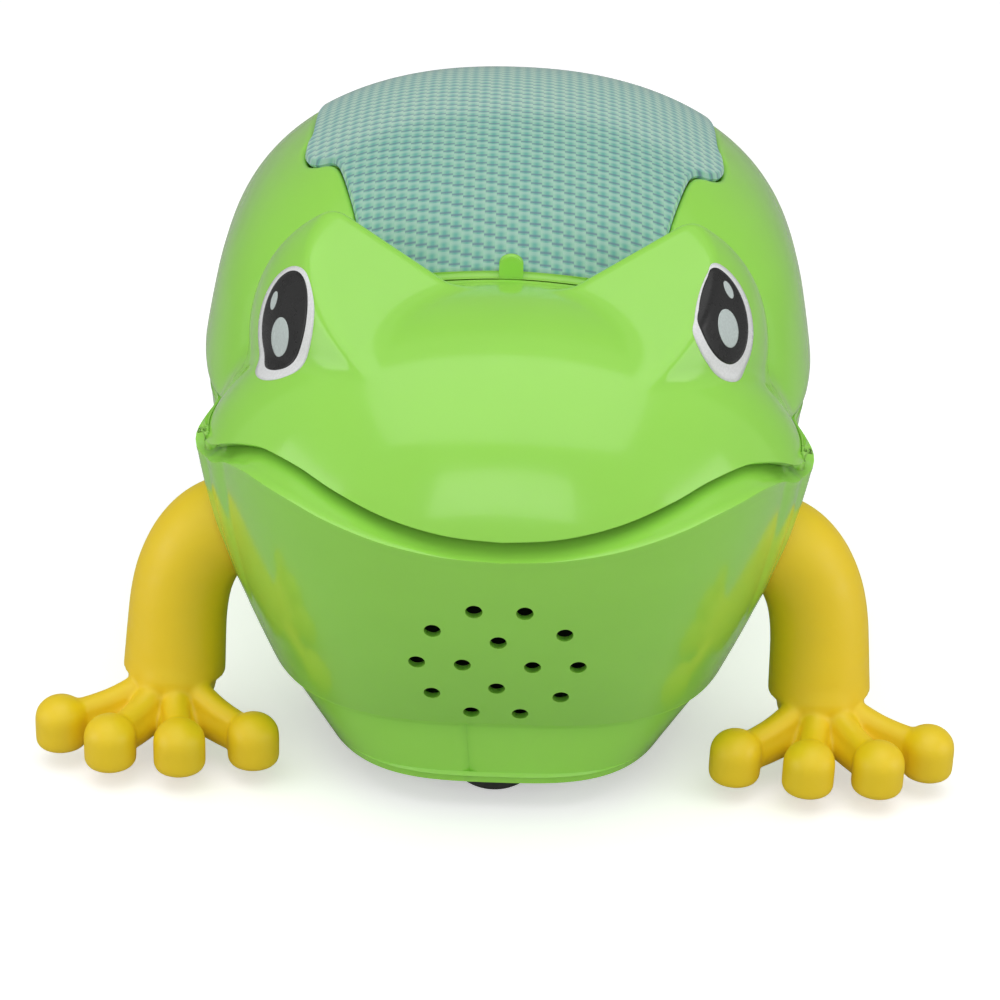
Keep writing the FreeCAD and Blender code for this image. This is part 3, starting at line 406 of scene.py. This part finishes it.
def speaker_holes():
    """(axis, x, y, z, radius) of the 14 holes bored along Y into the chin."""
    holes = []
    for count, ring in ((10, HOLES["outer"]), (4, HOLES["inner"])):
        for k in range(count):
            angle = math.radians(360 / count * k)
            holes.append(("y", ring * math.cos(angle), -78.0, HOLES["height"] + ring * math.sin(angle),
                          HOLES["radius"]))
    return holes


def cut_holes(obj, holes):
    """Cut round holes through a shell with one boolean."""
    form = bmesh.new()
    for axis, x, y, z, radius in holes:
        depth = 34.0 if axis == "y" else 160.0
        turn = Matrix.Rotation(math.pi / 2, 4, "X" if axis == "y" else "Y")
        bmesh.ops.create_cone(form, cap_ends=True, segments=40, radius1=radius * MM, radius2=radius * MM,
                              depth=depth * MM, matrix=Matrix.Translation(Vector((x, y, z)) * MM) @ turn)
    mesh = bpy.data.meshes.new("cutters")
    form.to_mesh(mesh)
    form.free()
    cutter = bpy.data.objects.new("cutters", mesh)
    bpy.context.collection.objects.link(cutter)
    boolean = obj.modifiers.new("holes", "BOOLEAN")
    boolean.operation = "DIFFERENCE"
    boolean.solver = "EXACT"
    boolean.object = cutter
    boolean.use_self = True
    apply_modifiers(obj)
    bpy.data.objects.remove(cutter)
    obj.data.shade_smooth()
    obj.data.set_sharp_from_angle(angle=math.radians(40))


LENS_HALF = [(0, -33.2), (14, -33.2), (26.5, -31.5), (29.6, -24), (31.8, -16), (34.2, -7), (35.6, -2.6),
             (37.2, -0.4), (39.6, 0.9), (41.8, 3.6), (43.0, 8), (43.0, 13), (42.3, 18), (42.3, 38),
             (40.5, 50), (36.5, 58), (29, 64), (15, 67.5), (0, 68.2)]
LENS_CENTRE = np.array([0.0, 18.0])


def lens_outline(samples, margin=0.0):
    """The lens's edge in plan, by equal steps along it from the front round to the front again."""
    mirrored = [(-x, y) for x, y in LENS_HALF[-2:0:-1]]
    loop = spline(np.array(LENS_HALF + mirrored + [LENS_HALF[0]], float), samples + 1)[:-1]
    way = LENS_CENTRE - loop
    return loop + way / np.linalg.norm(way, axis=1, keepdims=True) * margin


def back_shell(material):
    """The dome behind the neck seam, open for the lens."""
    columns, rows = 480, 90
    inner = drop(lens_outline(columns, -0.15), back_distance)
    heading = np.arctan2(inner[:, 1] - LENS_CENTRE[1], inner[:, 0])
    neck = neck_curve(240)
    _, _, sides = rim_curve(np.linspace(-math.pi, math.pi, 721)[:-1])
    sides = sides[sides[:, 1] > neck[0, 1] + 1.0]
    border = np.vstack([neck, sides])
    border_heading = np.arctan2(border[:, 1] - LENS_CENTRE[1], border[:, 0])
    order = np.argsort(border_heading)
    border, border_heading = border[order], border_heading[order]
    outer = np.stack([np.interp(heading, border_heading, border[:, axis], period=2 * math.pi)
                      for axis in range(3)], axis=1)
    origin = (0.0, 14.0, 55.0)
    skin = patch_rows(outer, inner, rows, origin, back_distance)
    skin = tuck(skin, origin, (0.3, 0.08))
    skin = tuck(skin, origin, (1.4, 0.35, 0.08), at_end=True)
    obj = make_object("back_shell_skin", skin.reshape(-1, 3),
                      grid_faces(rows, columns, closed=True), "chassis", material)
    solidify(obj, WALL)
    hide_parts("back_shell")
    return obj


def lens_point_rows(shares):
    """Dome points and outward normals on rings between the lens's middle and its outline."""
    columns = 480
    edge = lens_outline(columns)
    rings = [drop(LENS_CENTRE + (edge - LENS_CENTRE) * s, back_distance) for s in shares]
    rings = np.array(rings)
    step = 0.05
    normals = np.stack([back_distance(rings + np.eye(3)[axis] * step)
                        - back_distance(rings - np.eye(3)[axis] * step) for axis in range(3)], axis=-1)
    return rings, normals / np.linalg.norm(normals, axis=-1, keepdims=True)


CELL = 2.2
CELL_DEPTH = 0.8


def lens_cover(material):
    """The clear back panel: smooth outside, a grid of little pyramids inside."""
    shares = np.concatenate([[0.002], np.linspace(0.01, 0.985, 190), [0.992, 0.997, 1.0]])
    rings, normals = lens_point_rows(shares)
    across = np.abs((rings[..., 0] / CELL) % 1 - 0.5) * 2
    along = np.abs((rings[..., 1] / CELL + 0.25 * np.round(rings[..., 0] / CELL)) % 1 - 0.5) * 2
    edge_fade = (1 - smoothstep(0.9, 0.95, shares))[:, None]
    facet = (1 - np.maximum(across, along)) * CELL_DEPTH * edge_fade
    outer = rings + normals * (0.75 - 0.85 * smoothstep(0.975, 1.0, shares)[:, None, None] ** 2)
    inner = rings - normals * (0.7 + facet[..., None])
    skin = np.concatenate([inner, outer[::-1]])
    count = skin.shape[1]
    faces = grid_faces(len(skin), count, closed=True, flip=True)
    total = len(skin) * count
    faces.append(tuple(range(count)))
    faces.append(tuple(range(total - 1, total - count - 1, -1)))
    obj = make_object("lens_cover_skin", skin.reshape(-1, 3), faces, "chassis", material)
    obj.data.set_sharp_from_angle(angle=math.radians(28))
    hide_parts("lens_cover")
    return obj


def lens_seat(material):
    """The green ledge that the panel sits on, just inside its outline."""
    shares = np.array([0.998, 0.99, 0.985, 0.965, 0.93, 0.925])
    rings, normals = lens_point_rows(shares)
    depth = np.array([2.2, 2.35, 2.4, 2.4, 2.45, 3.9])[:, None, None]
    skin = rings - normals * depth
    faces = grid_faces(len(skin), skin.shape[1], closed=True, flip=True)
    obj = make_object("lens_seat", skin.reshape(-1, 3), faces, "chassis", material)
    solidify(obj, 1.2)
    return obj


def tube(name, path, radii, body, material, sides=24, samples=60):
    """A round rod along a smooth path, with a radius for each end."""
    line = spline(np.array(path, float), samples)
    ahead = np.gradient(line, axis=0)
    ahead /= np.linalg.norm(ahead, axis=1, keepdims=True)
    side = np.cross(ahead[0], [0.31, 0.17, 0.93])
    rings = []
    for k, point in enumerate(line):
        side = side - ahead[k] * (side @ ahead[k])
        side /= np.linalg.norm(side)
        up = np.cross(ahead[k], side)
        radius = np.interp(k / (samples - 1), np.linspace(0, 1, len(radii)), radii)
        turn = np.linspace(0, 2 * math.pi, sides, endpoint=False)[:, None]
        rings.append(point + radius * (np.cos(turn) * side + np.sin(turn) * up))
    faces = grid_faces(samples, sides, closed=True, flip=True)
    faces.append(tuple(range(sides)))
    faces.append(tuple(range(samples * sides - 1, (samples - 1) * sides - 1, -1)))
    return make_object(name, np.array(rings).reshape(-1, 3), faces, body, material)


def join_forms(name, forms):
    """Melt overlapping forms into one skin."""
    bpy.ops.object.select_all(action="DESELECT")
    for form in forms:
        form.select_set(True)
    bpy.context.view_layer.objects.active = forms[0]
    bpy.ops.object.join()
    whole = bpy.context.view_layer.objects.active
    whole.name = name
    remesh = whole.modifiers.new("melt", "REMESH")
    remesh.mode = "VOXEL"
    remesh.voxel_size = 0.5 * MM
    smooth = whole.modifiers.new("ease", "SMOOTH")
    smooth.factor = 0.5
    smooth.iterations = 7
    apply_modifiers(whole)
    whole.data.shade_smooth()
    return whole


FINGERTIPS = [(48.2, -55.2), (62.6, -58.7), (76.5, -57.9), (87.3, -50.8)]
TIP_RADIUS = 5.2
TIP_FLOOR = 2.0
TIP_SHOULDER = 6.2
TIP_DOME = 4.6


def fingertip(side, x, y):
    """A short peg with a domed top and an eased foot."""
    profile = [(0, 0.0), (TIP_RADIUS - 1.4, 0.0), (TIP_RADIUS - 0.5, 0.35), (TIP_RADIUS, 1.3),
               (TIP_RADIUS, TIP_SHOULDER)]
    profile += [(TIP_RADIUS * math.cos(a), TIP_SHOULDER + TIP_DOME * math.sin(a))
                for a in np.linspace(0.2, math.pi / 2, 8)]
    turn = np.linspace(0, 2 * math.pi, 40, endpoint=False)
    points = [(side * x + r * math.cos(a), y + r * math.sin(a), TIP_FLOOR + h)
              for r, h in profile for a in turn]
    return make_object("tip", points, grid_faces(len(profile), 40, closed=True), None, None)


def web(side, first, second, hub):
    """The thin skin between two fingers."""
    reach = 0.66
    a = hub + (first - hub) * reach
    b = hub + (second - hub) * reach
    middle = hub + ((first + second) / 2 - hub) * 0.52
    plan = [hub, a, middle, b]
    top = [(p[0] * side, p[1], z) for p, z in zip(plan, (8.5, 7.0, 7.0, 7.0))]
    low = [(p[0] * side, p[1], z) for p, z in zip(plan, (3.6, 4.6, 4.8, 4.6))]
    faces = [(0, 1, 2), (0, 2, 3), (6, 5, 4), (7, 6, 4),
             (0, 4, 5, 1), (1, 5, 6, 2), (2, 6, 7, 3), (3, 7, 4, 0)]
    return make_object("web", top + low, faces, None, None)


def arm(side, mark, material):
    """One arm: shoulder, smooth elbow, flared sleeve, and a hand of four ribbed fingers."""
    y, z = PIVOT
    path = [(side * 46, y, z + 0.3), (side * 53, y, z - 0.1), (side * 58.6, y - 0.3, z - 2.8),
            (side * 62.7, y - 1.0, z - 8.6), (side * 65.0, y - 2.2, z - 17), (side * 66, y - 4.6, 13.0)]
    sleeve = tube("sleeve", path, (9.7, 9.8, 9.9, 10.0, 10.4), None, None, sides=56, samples=90)
    hub = np.array([66.0, -40.0])
    forms = [sleeve, tube("heel", [(side * 66, -38.5, 15), (side * 66, -41.5, 9.5), (side * 66, -43.5, 7)],
                          (9.3, 8.6, 6.5), None, None, sides=48)]
    for x, tip_y in FINGERTIPS:
        foot = np.array([x, tip_y])
        start = hub + (foot - hub) * 0.12
        middle = hub + (foot - hub) * 0.55
        forms.append(tube("rib", [(side * start[0], start[1], 13.2), (side * middle[0], middle[1], 9.6),
                                  (side * x, tip_y, 8.3)], (2.9, 2.7, 2.6), None, None, samples=30))
        forms.append(tube("finger", [(side * start[0], start[1], 8.5), (side * middle[0], middle[1], 6.6),
                                     (side * x, tip_y, 6.2)], (4.6, 3.7, 3.3), None, None, samples=30))
        forms.append(fingertip(side, x, tip_y))
    for first, second in zip(FINGERTIPS[:-1], FINGERTIPS[1:]):
        forms.append(web(side, np.array(first), np.array(second), hub))
    whole = join_forms("arm_skin_" + mark, forms)
    whole.data.materials.clear()
    whole.data.materials.append(material)
    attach(whole, "arms")
    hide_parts("arm_" + mark)
    return whole


STICKER_HALF = (9.9, 12.1)
STICKERS = {"left": ((40.5, -49.8, 98.7), 5.7), "right": ((43.1, -49.2, 93.7), -8.0)}


def surface_frame(point, distance):
    """Outward normal of the form at a point."""
    step = 0.3
    normal = np.array([distance(point + np.eye(3)[axis] * step) - distance(point - np.eye(3)[axis] * step)
                       for axis in range(3)])
    return normal / np.linalg.norm(normal)


def on_head(points):
    """Move points along their own normals until they lie on the head."""
    points = np.array(points, float)
    for _ in range(12):
        gap = head_distance(points)
        normal = np.stack([head_distance(points + np.eye(3)[axis] * 0.2)
                           - head_distance(points - np.eye(3)[axis] * 0.2) for axis in range(3)], axis=-1)
        normal /= np.linalg.norm(normal, axis=-1, keepdims=True)
        points = points - normal * gap[..., None] * 0.8
    return points, normal


def eye_sticker(side, mark, colours):
    """An oval sticker laid on the brow's flank: border, pupil and two highlights, one over another."""
    place, lean = STICKERS[mark]
    centre, _ = on_head(np.array([place]))
    centre = centre[0]
    normal = surface_frame(centre, head_distance)
    across = np.cross([0, 0, 1.0], normal)
    across /= np.linalg.norm(across)
    up = np.cross(normal, across)
    tilt = math.radians(lean)
    across, up = (across * math.cos(tilt) + up * math.sin(tilt),
                  up * math.cos(tilt) - across * math.sin(tilt))
    half = np.array(STICKER_HALF)
    layers = [("border", (0, 0), (1, 1), 0.10), ("pupil", (0.0, 0.075), (0.785, 0.84), 0.13),
              ("highlight", (-0.03, -0.18), (0.31, 0.31), 0.16),
              ("glint", (0.435, 0.336), (0.12, 0.153), 0.16)]
    pieces = []
    for name, shift, size, lift in layers:
        rings, sides = 14, 72
        turn = np.linspace(0, 2 * math.pi, sides, endpoint=False)
        rows = []
        for r in np.linspace(0.02, 1, rings):
            u = (shift[0] + size[0] * r * np.cos(turn)) * half[0]
            v = (shift[1] + size[1] * r * np.sin(turn)) * half[1]
            rows.append(centre + u[:, None] * across + v[:, None] * up)
        points, normals = on_head(np.array(rows))
        points = points + normals * lift
        foot = points[-1] - normals[-1] * (lift + 0.02)
        points = np.concatenate([points, foot[None]])
        points[..., 0] *= side
        faces = grid_faces(rings + 1, sides, closed=True, flip=side < 0)
        faces.append(tuple(range(sides)) if side < 0 else tuple(range(sides - 1, -1, -1)))
        piece = make_object("eye_" + name + "_" + mark, points.reshape(-1, 3), faces, "chassis",
                            colours[name])
        pieces.append(piece)
    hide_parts("eye_sticker_" + mark)
    return pieces


def lens_clip(material):
    """The round-topped tab at the panel's front edge."""
    low, high = (-1.9, -34.6, 97.0), (1.9, -32.6, 103.6)
    width = high[0]
    outline = [(-width, low[2] - 1), (width, low[2] - 1)]
    top = high[2] - width
    outline += [(width * math.cos(a), top + width * 0.8 * math.sin(a)) for a in np.linspace(0, math.pi, 13)]
    verts = [(x, low[1], z) for x, z in outline] + [(x, high[1], z) for x, z in outline]
    n = len(outline)
    faces = [tuple(range(n - 1, -1, -1)), tuple(range(n, 2 * n))]
    faces += [(k, (k + 1) % n, n + (k + 1) % n, n + k)[::-1] for k in range(n)]
    obj = make_object("lens_clip_tab", verts, [f[::-1] for f in faces], "chassis", material, smooth=False)
    bevel = obj.modifiers.new("ease", "BEVEL")
    bevel.width = 0.45 * MM
    bevel.segments = 4
    bevel.limit_method = "ANGLE"
    bevel.angle_limit = math.radians(50)
    apply_modifiers(obj)
    obj.data.shade_smooth()
    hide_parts("lens_clip")
    return obj


# ---------------------------------------------------------------- finishes
class Finish:
    """A node material in object millimetres, built from the sockets it is given."""

    def __init__(self, name):
        self.material = bpy.data.materials.new(name)
        self.material.use_nodes = True
        self.tree = self.material.node_tree
        self.shader = self.tree.nodes["Principled BSDF"]
        place = self.tree.nodes.new("ShaderNodeTexCoord")
        scale = self.tree.nodes.new("ShaderNodeMapping")
        scale.inputs["Scale"].default_value = (1000, 1000, 1000)
        self.tree.links.new(place.outputs["Object"], scale.inputs["Vector"])
        self.place = scale.outputs["Vector"]

    def set(self, **values):
        for key, value in values.items():
            self.shader.inputs[key.replace("_", " ")].default_value = value
        return self

    def noise(self, scale, detail=3.0, roughness=0.5, stretch=None):
        node = self.tree.nodes.new("ShaderNodeTexNoise")
        node.inputs["Scale"].default_value = scale
        node.inputs["Detail"].default_value = detail
        node.inputs["Roughness"].default_value = roughness
        source = self.place
        if stretch:
            pull = self.tree.nodes.new("ShaderNodeMapping")
            pull.inputs["Scale"].default_value = stretch
            self.tree.links.new(self.place, pull.inputs["Vector"])
            source = pull.outputs["Vector"]
        self.tree.links.new(source, node.inputs["Vector"])
        return node.outputs["Fac"]

    def ramp(self, fac, low, high, start=0.35, end=0.65):
        node = self.tree.nodes.new("ShaderNodeMapRange")
        node.inputs["From Min"].default_value = start
        node.inputs["From Max"].default_value = end
        node.inputs["To Min"].default_value = low
        node.inputs["To Max"].default_value = high
        self.tree.links.new(fac, node.inputs["Value"])
        return node.outputs["Result"]

    def mix(self, fac, first, second):
        node = self.tree.nodes.new("ShaderNodeMix")
        node.data_type = "RGBA"
        for value, socket in ((first, node.inputs[6]), (second, node.inputs[7])):
            if isinstance(value, tuple):
                socket.default_value = (*value, 1) if len(value) == 3 else value
            else:
                self.tree.links.new(value, socket)
        self.tree.links.new(fac, node.inputs[0])
        return node.outputs[2]

    def math(self, operation, *values):
        node = self.tree.nodes.new("ShaderNodeMath")
        node.operation = operation
        for value, socket in zip(values, node.inputs):
            if isinstance(value, (int, float)):
                socket.default_value = value
            else:
                self.tree.links.new(value, socket)
        return node.outputs[0]

    def axes(self):
        node = self.tree.nodes.new("ShaderNodeSeparateXYZ")
        self.tree.links.new(self.place, node.inputs[0])
        return node.outputs

    def colour(self, socket):
        self.tree.links.new(socket, self.shader.inputs["Base Color"])
        return self

    def gloss(self, socket):
        self.tree.links.new(socket, self.shader.inputs["Roughness"])
        return self

    def grain(self, height, strength, distance=0.0002):
        node = self.tree.nodes.new("ShaderNodeBump")
        node.inputs["Strength"].default_value = strength
        node.inputs["Distance"].default_value = distance
        self.tree.links.new(height, node.inputs["Height"])
        self.tree.links.new(node.outputs["Normal"], self.shader.inputs["Normal"])
        return self


def shade(colour, factor):
    return tuple(min(1.0, c * factor) for c in colour)


def plastic(name, colour, roughness, coat=0.0, depth=0.0, wear=0.06):
    """Moulded plastic: faint flow marks in the colour, handling smears in the gloss, a fine skin."""
    finish = Finish(name)
    flow = finish.noise(0.05, 2.0, 0.5, (1.0, 0.5, 1.4))
    finish.colour(finish.mix(flow, shade(colour, 1 - wear), shade(colour, 1 + wear)))
    smear = finish.noise(0.16, 6.0, 0.62, (1.0, 1.0, 2.2))
    finish.gloss(finish.ramp(smear, roughness * 0.85, roughness * 1.25))
    finish.grain(finish.noise(1.6, 4.0, 0.55), 0.035)
    finish.set(IOR=1.53, Coat_Weight=coat, Coat_Roughness=0.06)
    if depth:
        finish.set(Subsurface_Weight=depth, Subsurface_Radius=(0.0016, 0.0024, 0.0006), Subsurface_Scale=1.0)
    return finish.material


def lens_with_painted_facet_light():
    """Clear teal with painted light: each cell of the grid has a pale upper facet, a painted highlight, and a
    dusky lower one, a painted shade; each column is painted darker towards its flanks.
    """
    finish = Finish("lens_teal_painted_facet_light")
    x, y, _ = finish.axes()
    column = finish.math("DIVIDE", x, CELL)
    stagger = finish.math("MULTIPLY", finish.math("ROUND", column), 0.25)
    row = finish.math("FRACT", finish.math("ADD", finish.math("DIVIDE", y, CELL), stagger))
    across = finish.math("ABSOLUTE", finish.math("SUBTRACT", finish.math("FRACT", column), 0.5))
    # Painted shade: each column of cells is painted darker towards its flanks.
    flank = finish.ramp(across, 0.0, 1.0, 0.12, 0.42)
    teal_with_painted_column_shade = finish.mix(flank, (0.44, 0.78, 0.60), (0.24, 0.60, 0.51))
    # Painted highlight: a pale band on the upper facet of each cell.
    pale = finish.ramp(row, 0.0, 0.6, 0.58, 0.80)
    teal_with_painted_highlight = finish.mix(pale, teal_with_painted_column_shade, (0.58, 0.82, 0.73))
    # Painted shade: a dusky line on the lower facet of each cell.
    painted_shade_line = finish.ramp(finish.math("ABSOLUTE", finish.math("SUBTRACT", row, 0.22)), 0.8, 0.0, 0.02, 0.16)
    finish.colour(finish.mix(painted_shade_line, teal_with_painted_highlight, (0.22, 0.30, 0.42)))
    finish.gloss(finish.ramp(finish.noise(0.2, 5.0), 0.10, 0.2))
    finish.grain(finish.noise(0.5, 2.0), 0.02)
    finish.set(Transmission_Weight=0.3, IOR=1.12, Specular_IOR_Level=0.1)
    return finish.material


def metal(name, colour, roughness, lines=(1.0, 1.0, 14.0)):
    """Plated or turned metal with fine drawing lines."""
    finish = Finish(name)
    draw = finish.noise(0.9, 5.0, 0.6, lines)
    finish.colour(finish.mix(draw, shade(colour, 0.82), shade(colour, 1.12)))
    finish.gloss(finish.ramp(draw, roughness * 0.8, roughness * 1.4))
    finish.grain(draw, 0.06)
    finish.set(Metallic=1.0)
    return finish.material


def rubber(name):
    finish = Finish(name)
    dust = finish.noise(0.35, 6.0, 0.65)
    finish.colour(finish.mix(finish.ramp(dust, 0.0, 1.0), (0.012, 0.012, 0.013), (0.045, 0.043, 0.04)))
    finish.gloss(finish.ramp(dust, 0.55, 0.8))
    finish.grain(finish.noise(3.0, 3.0), 0.3)
    return finish.material


def laminate(name, colour, pads):
    """A circuit board: woven ground, darker copper runs under the mask, plated pads."""
    finish = Finish(name)
    x, y, z = finish.axes()
    weave = finish.math("MULTIPLY", finish.math("SINE", finish.math("MULTIPLY", x, 7.0)),
                        finish.math("SINE", finish.math("MULTIPLY", y, 7.0)))
    ground = finish.mix(finish.ramp(weave, 0.0, 1.0, -1.0, 1.0), shade(colour, 0.85), shade(colour, 1.1))
    bends = finish.math("MULTIPLY", finish.math("SINE", finish.math("MULTIPLY", y, 0.6)), 3.0)
    steps = finish.math("SINE", finish.math("ADD", finish.math("MULTIPLY", x, 2.2), bends))
    runs = finish.mix(finish.ramp(steps, 0.0, 1.0, 0.55, 0.65), ground, shade(colour, 1.7))
    dots = finish.math("MULTIPLY", finish.math("SINE", finish.math("MULTIPLY", x, 2.47)),
                       finish.math("SINE", finish.math("MULTIPLY", finish.math("ADD", y, z), 2.47)))
    finish.colour(finish.mix(finish.ramp(dots, 0.0, 1.0, 0.86, 0.9), runs, pads))
    finish.gloss(finish.ramp(finish.noise(0.4), 0.3, 0.5))
    finish.grain(steps, 0.1)
    return finish.material


def film(name, colour, gloss=0.22):
    """Printed sticker film: a faint orange-peel and a fine ink screen."""
    finish = Finish(name)
    ink = finish.noise(2.4, 2.0)
    finish.colour(finish.mix(finish.ramp(ink, 0.0, 1.0), shade(colour, 0.94), shade(colour, 1.04)))
    finish.gloss(finish.ramp(finish.noise(0.5, 4.0), gloss * 0.8, gloss * 1.3))
    finish.grain(finish.noise(0.9, 2.0), 0.03)
    finish.set(Coat_Weight=0.08, Coat_Roughness=0.2, Specular_IOR_Level=0.3)
    return finish.material


def cell_wrap(name):
    """A plain battery sleeve: dark body, a copper-coloured band near one end."""
    finish = Finish(name)
    _, y, _ = finish.axes()
    band = finish.ramp(y, 0.0, 1.0, 36.0, 36.3)
    scuff = finish.noise(0.5, 6.0, 0.6)
    body = finish.mix(finish.ramp(scuff, 0.0, 1.0), (0.03, 0.032, 0.036), (0.06, 0.062, 0.07))
    finish.colour(finish.mix(band, body, (0.55, 0.28, 0.12)))
    finish.gloss(finish.ramp(scuff, 0.25, 0.4))
    finish.set(Metallic=0.35)
    return finish.material


def lamp(name, colour):
    """Tinted epoxy, clearer at the tip."""
    finish = Finish(name)
    tint = finish.noise(0.8, 3.0)
    finish.colour(finish.mix(finish.ramp(tint, 0.0, 1.0), shade(colour, 0.85), shade(colour, 1.15)))
    finish.gloss(finish.ramp(tint, 0.08, 0.2))
    finish.set(Transmission_Weight=0.4, IOR=1.5)
    return finish.material


GREEN = (0.335, 0.76, 0.09)
YELLOW = (0.93, 0.66, 0.012)
finishes = {
    "green_plastic": plastic("lime_gloss", GREEN, 0.15, coat=0.18, depth=0.12, wear=0.035),
    "yellow_plastic": plastic("yellow_satin", YELLOW, 0.45, depth=0.05, wear=0.05),
    "lens": lens_with_painted_facet_light(),
    "sticker": film("sticker_white", (0.80, 0.81, 0.81)),
    "black_plastic": plastic("black_satin", (0.02, 0.02, 0.021), 0.4, wear=0.25),
    "white_plastic": plastic("acetal", (0.74, 0.74, 0.70), 0.35, depth=0.1),
    "cream_plastic": plastic("cream_styrene", (0.78, 0.70, 0.50), 0.4),
    "steel": metal("nickel_plate", (0.62, 0.62, 0.63), 0.22),
    "motor_steel": metal("zinc_plate", (0.46, 0.47, 0.48), 0.34, (6.0, 6.0, 1.0)),
    "brass": metal("turned_brass", (0.72, 0.52, 0.22), 0.25),
    "tyre": rubber("tyre_rubber"),
    "cell": cell_wrap("cell_sleeve"),
    "paper": plastic("doped_paper", (0.035, 0.034, 0.032), 0.75, wear=0.3),
    "board": laminate("green_laminate", (0.05, 0.22, 0.10), (0.62, 0.60, 0.55)),
    "lamp_red": lamp("red_lamp", (0.75, 0.06, 0.12)),
    "lamp_blue": lamp("blue_lamp", (0.08, 0.2, 0.75)),
}
slot_of = {s["node"]: s["material_slot"] for s in frame["record"]["subparts"]}
for node_name, node_object in frame["nodes"].items():
    node_object.data.materials.clear()
    node_object.data.materials.append(finishes[slot_of[node_name]])


# ---------------------------------------------------------------- the frog
green = finishes["green_plastic"]
head_shell(green)
lower_shell(green)
back_shell(green)
lens_seat(green)
lens_cover(finishes["lens"])
lens_clip(green)
arm(1, "left", finishes["yellow_plastic"])
arm(-1, "right", finishes["yellow_plastic"])
pale_print = film("sticker_pale", (0.55, 0.62, 0.60))
sticker_colours = {
    "border": finishes["sticker"],
    "pupil": film("sticker_black", (0.018, 0.018, 0.018), 0.28),
    "highlight": pale_print,
    "glint": pale_print,
}
eye_sticker(1, "left", sticker_colours)
eye_sticker(-1, "right", sticker_colours)


# ---------------------------------------------------------------- stage
def stage_floor():
    """A pale sweep: floor in front, wall behind."""
    profile = [(-1.6, 0.0), (0.9, 0.0), (1.15, 0.03), (1.35, 0.14), (1.45, 0.35), (1.5, 2.6)]
    line = spline(np.array(profile), 60)
    verts = [(x * 1000, y * 1000, z * 1000) for y, z in line for x in (-3.0, 3.0)]
    finish = Finish("paper_sweep")
    tooth = finish.noise(0.02, 3.0)
    seen = finish.tree.nodes.new("ShaderNodeLightPath").outputs["Is Camera Ray"]
    paper = finish.mix(tooth, (0.88, 0.88, 0.88), (0.93, 0.93, 0.93))
    finish.colour(finish.mix(seen, (0.52, 0.52, 0.52), paper))
    finish.tree.links.new(finish.math("MULTIPLY", seen, 0.46), finish.shader.inputs["Emission Strength"])
    finish.set(Roughness=0.6, Specular_IOR_Level=0.3, Emission_Color=(1, 1, 1, 1))
    sweep = make_object("sweep", verts, grid_faces(60, 2), None, finish.material)


def softbox(name, location, target, size, power):
    light = bpy.data.lights.new(name, "AREA")
    light.shape = "RECTANGLE"
    light.size, light.size_y = size
    light.energy = power
    lamp_object = bpy.data.objects.new(name, light)
    bpy.context.collection.objects.link(lamp_object)
    lamp_object.location = location
    lamp_object.rotation_euler = (Vector(target) - Vector(location)).to_track_quat("-Z", "Y").to_euler()


stage_floor()
softbox("key_top", (0.0, -0.25, 1.15), (0, 0, 0.06), (1.5, 1.1), 5.4)
softbox("side_left", (1.05, -0.45, 0.30), (0, -0.02, 0.06), (0.7, 0.8), 2.8)
softbox("side_right", (-1.05, -0.45, 0.30), (0, -0.02, 0.06), (0.7, 0.8), 2.8)
softbox("front_fill", (0.0, -1.4, 0.9), (0, 0, 0.06), (1.0, 0.4), 2.0)

world = bpy.data.worlds.new("studio")
world.use_nodes = True
world.node_tree.nodes["Background"].inputs["Color"].default_value = (1, 1, 1, 1)
world.node_tree.nodes["Background"].inputs["Strength"].default_value = 0.50
bpy.context.scene.world = world

camera_data = bpy.data.cameras.new("camera")
camera_data.lens = 100
camera_data.sensor_width = 36
camera_data.clip_start = 0.01
camera = bpy.data.objects.new("camera", camera_data)
bpy.context.collection.objects.link(camera)
camera.location = (-0.0006, -0.5375, 0.2867)
aim = (Vector((-0.0006, -0.030, 0.050)) - camera.location).to_track_quat("-Z", "Y")
camera.rotation_euler = (aim.to_matrix() @ Matrix.Rotation(math.radians(2.0), 3, "Z")).to_euler()
bpy.context.scene.camera = camera
bpy.context.scene.view_settings.view_transform = "Standard"
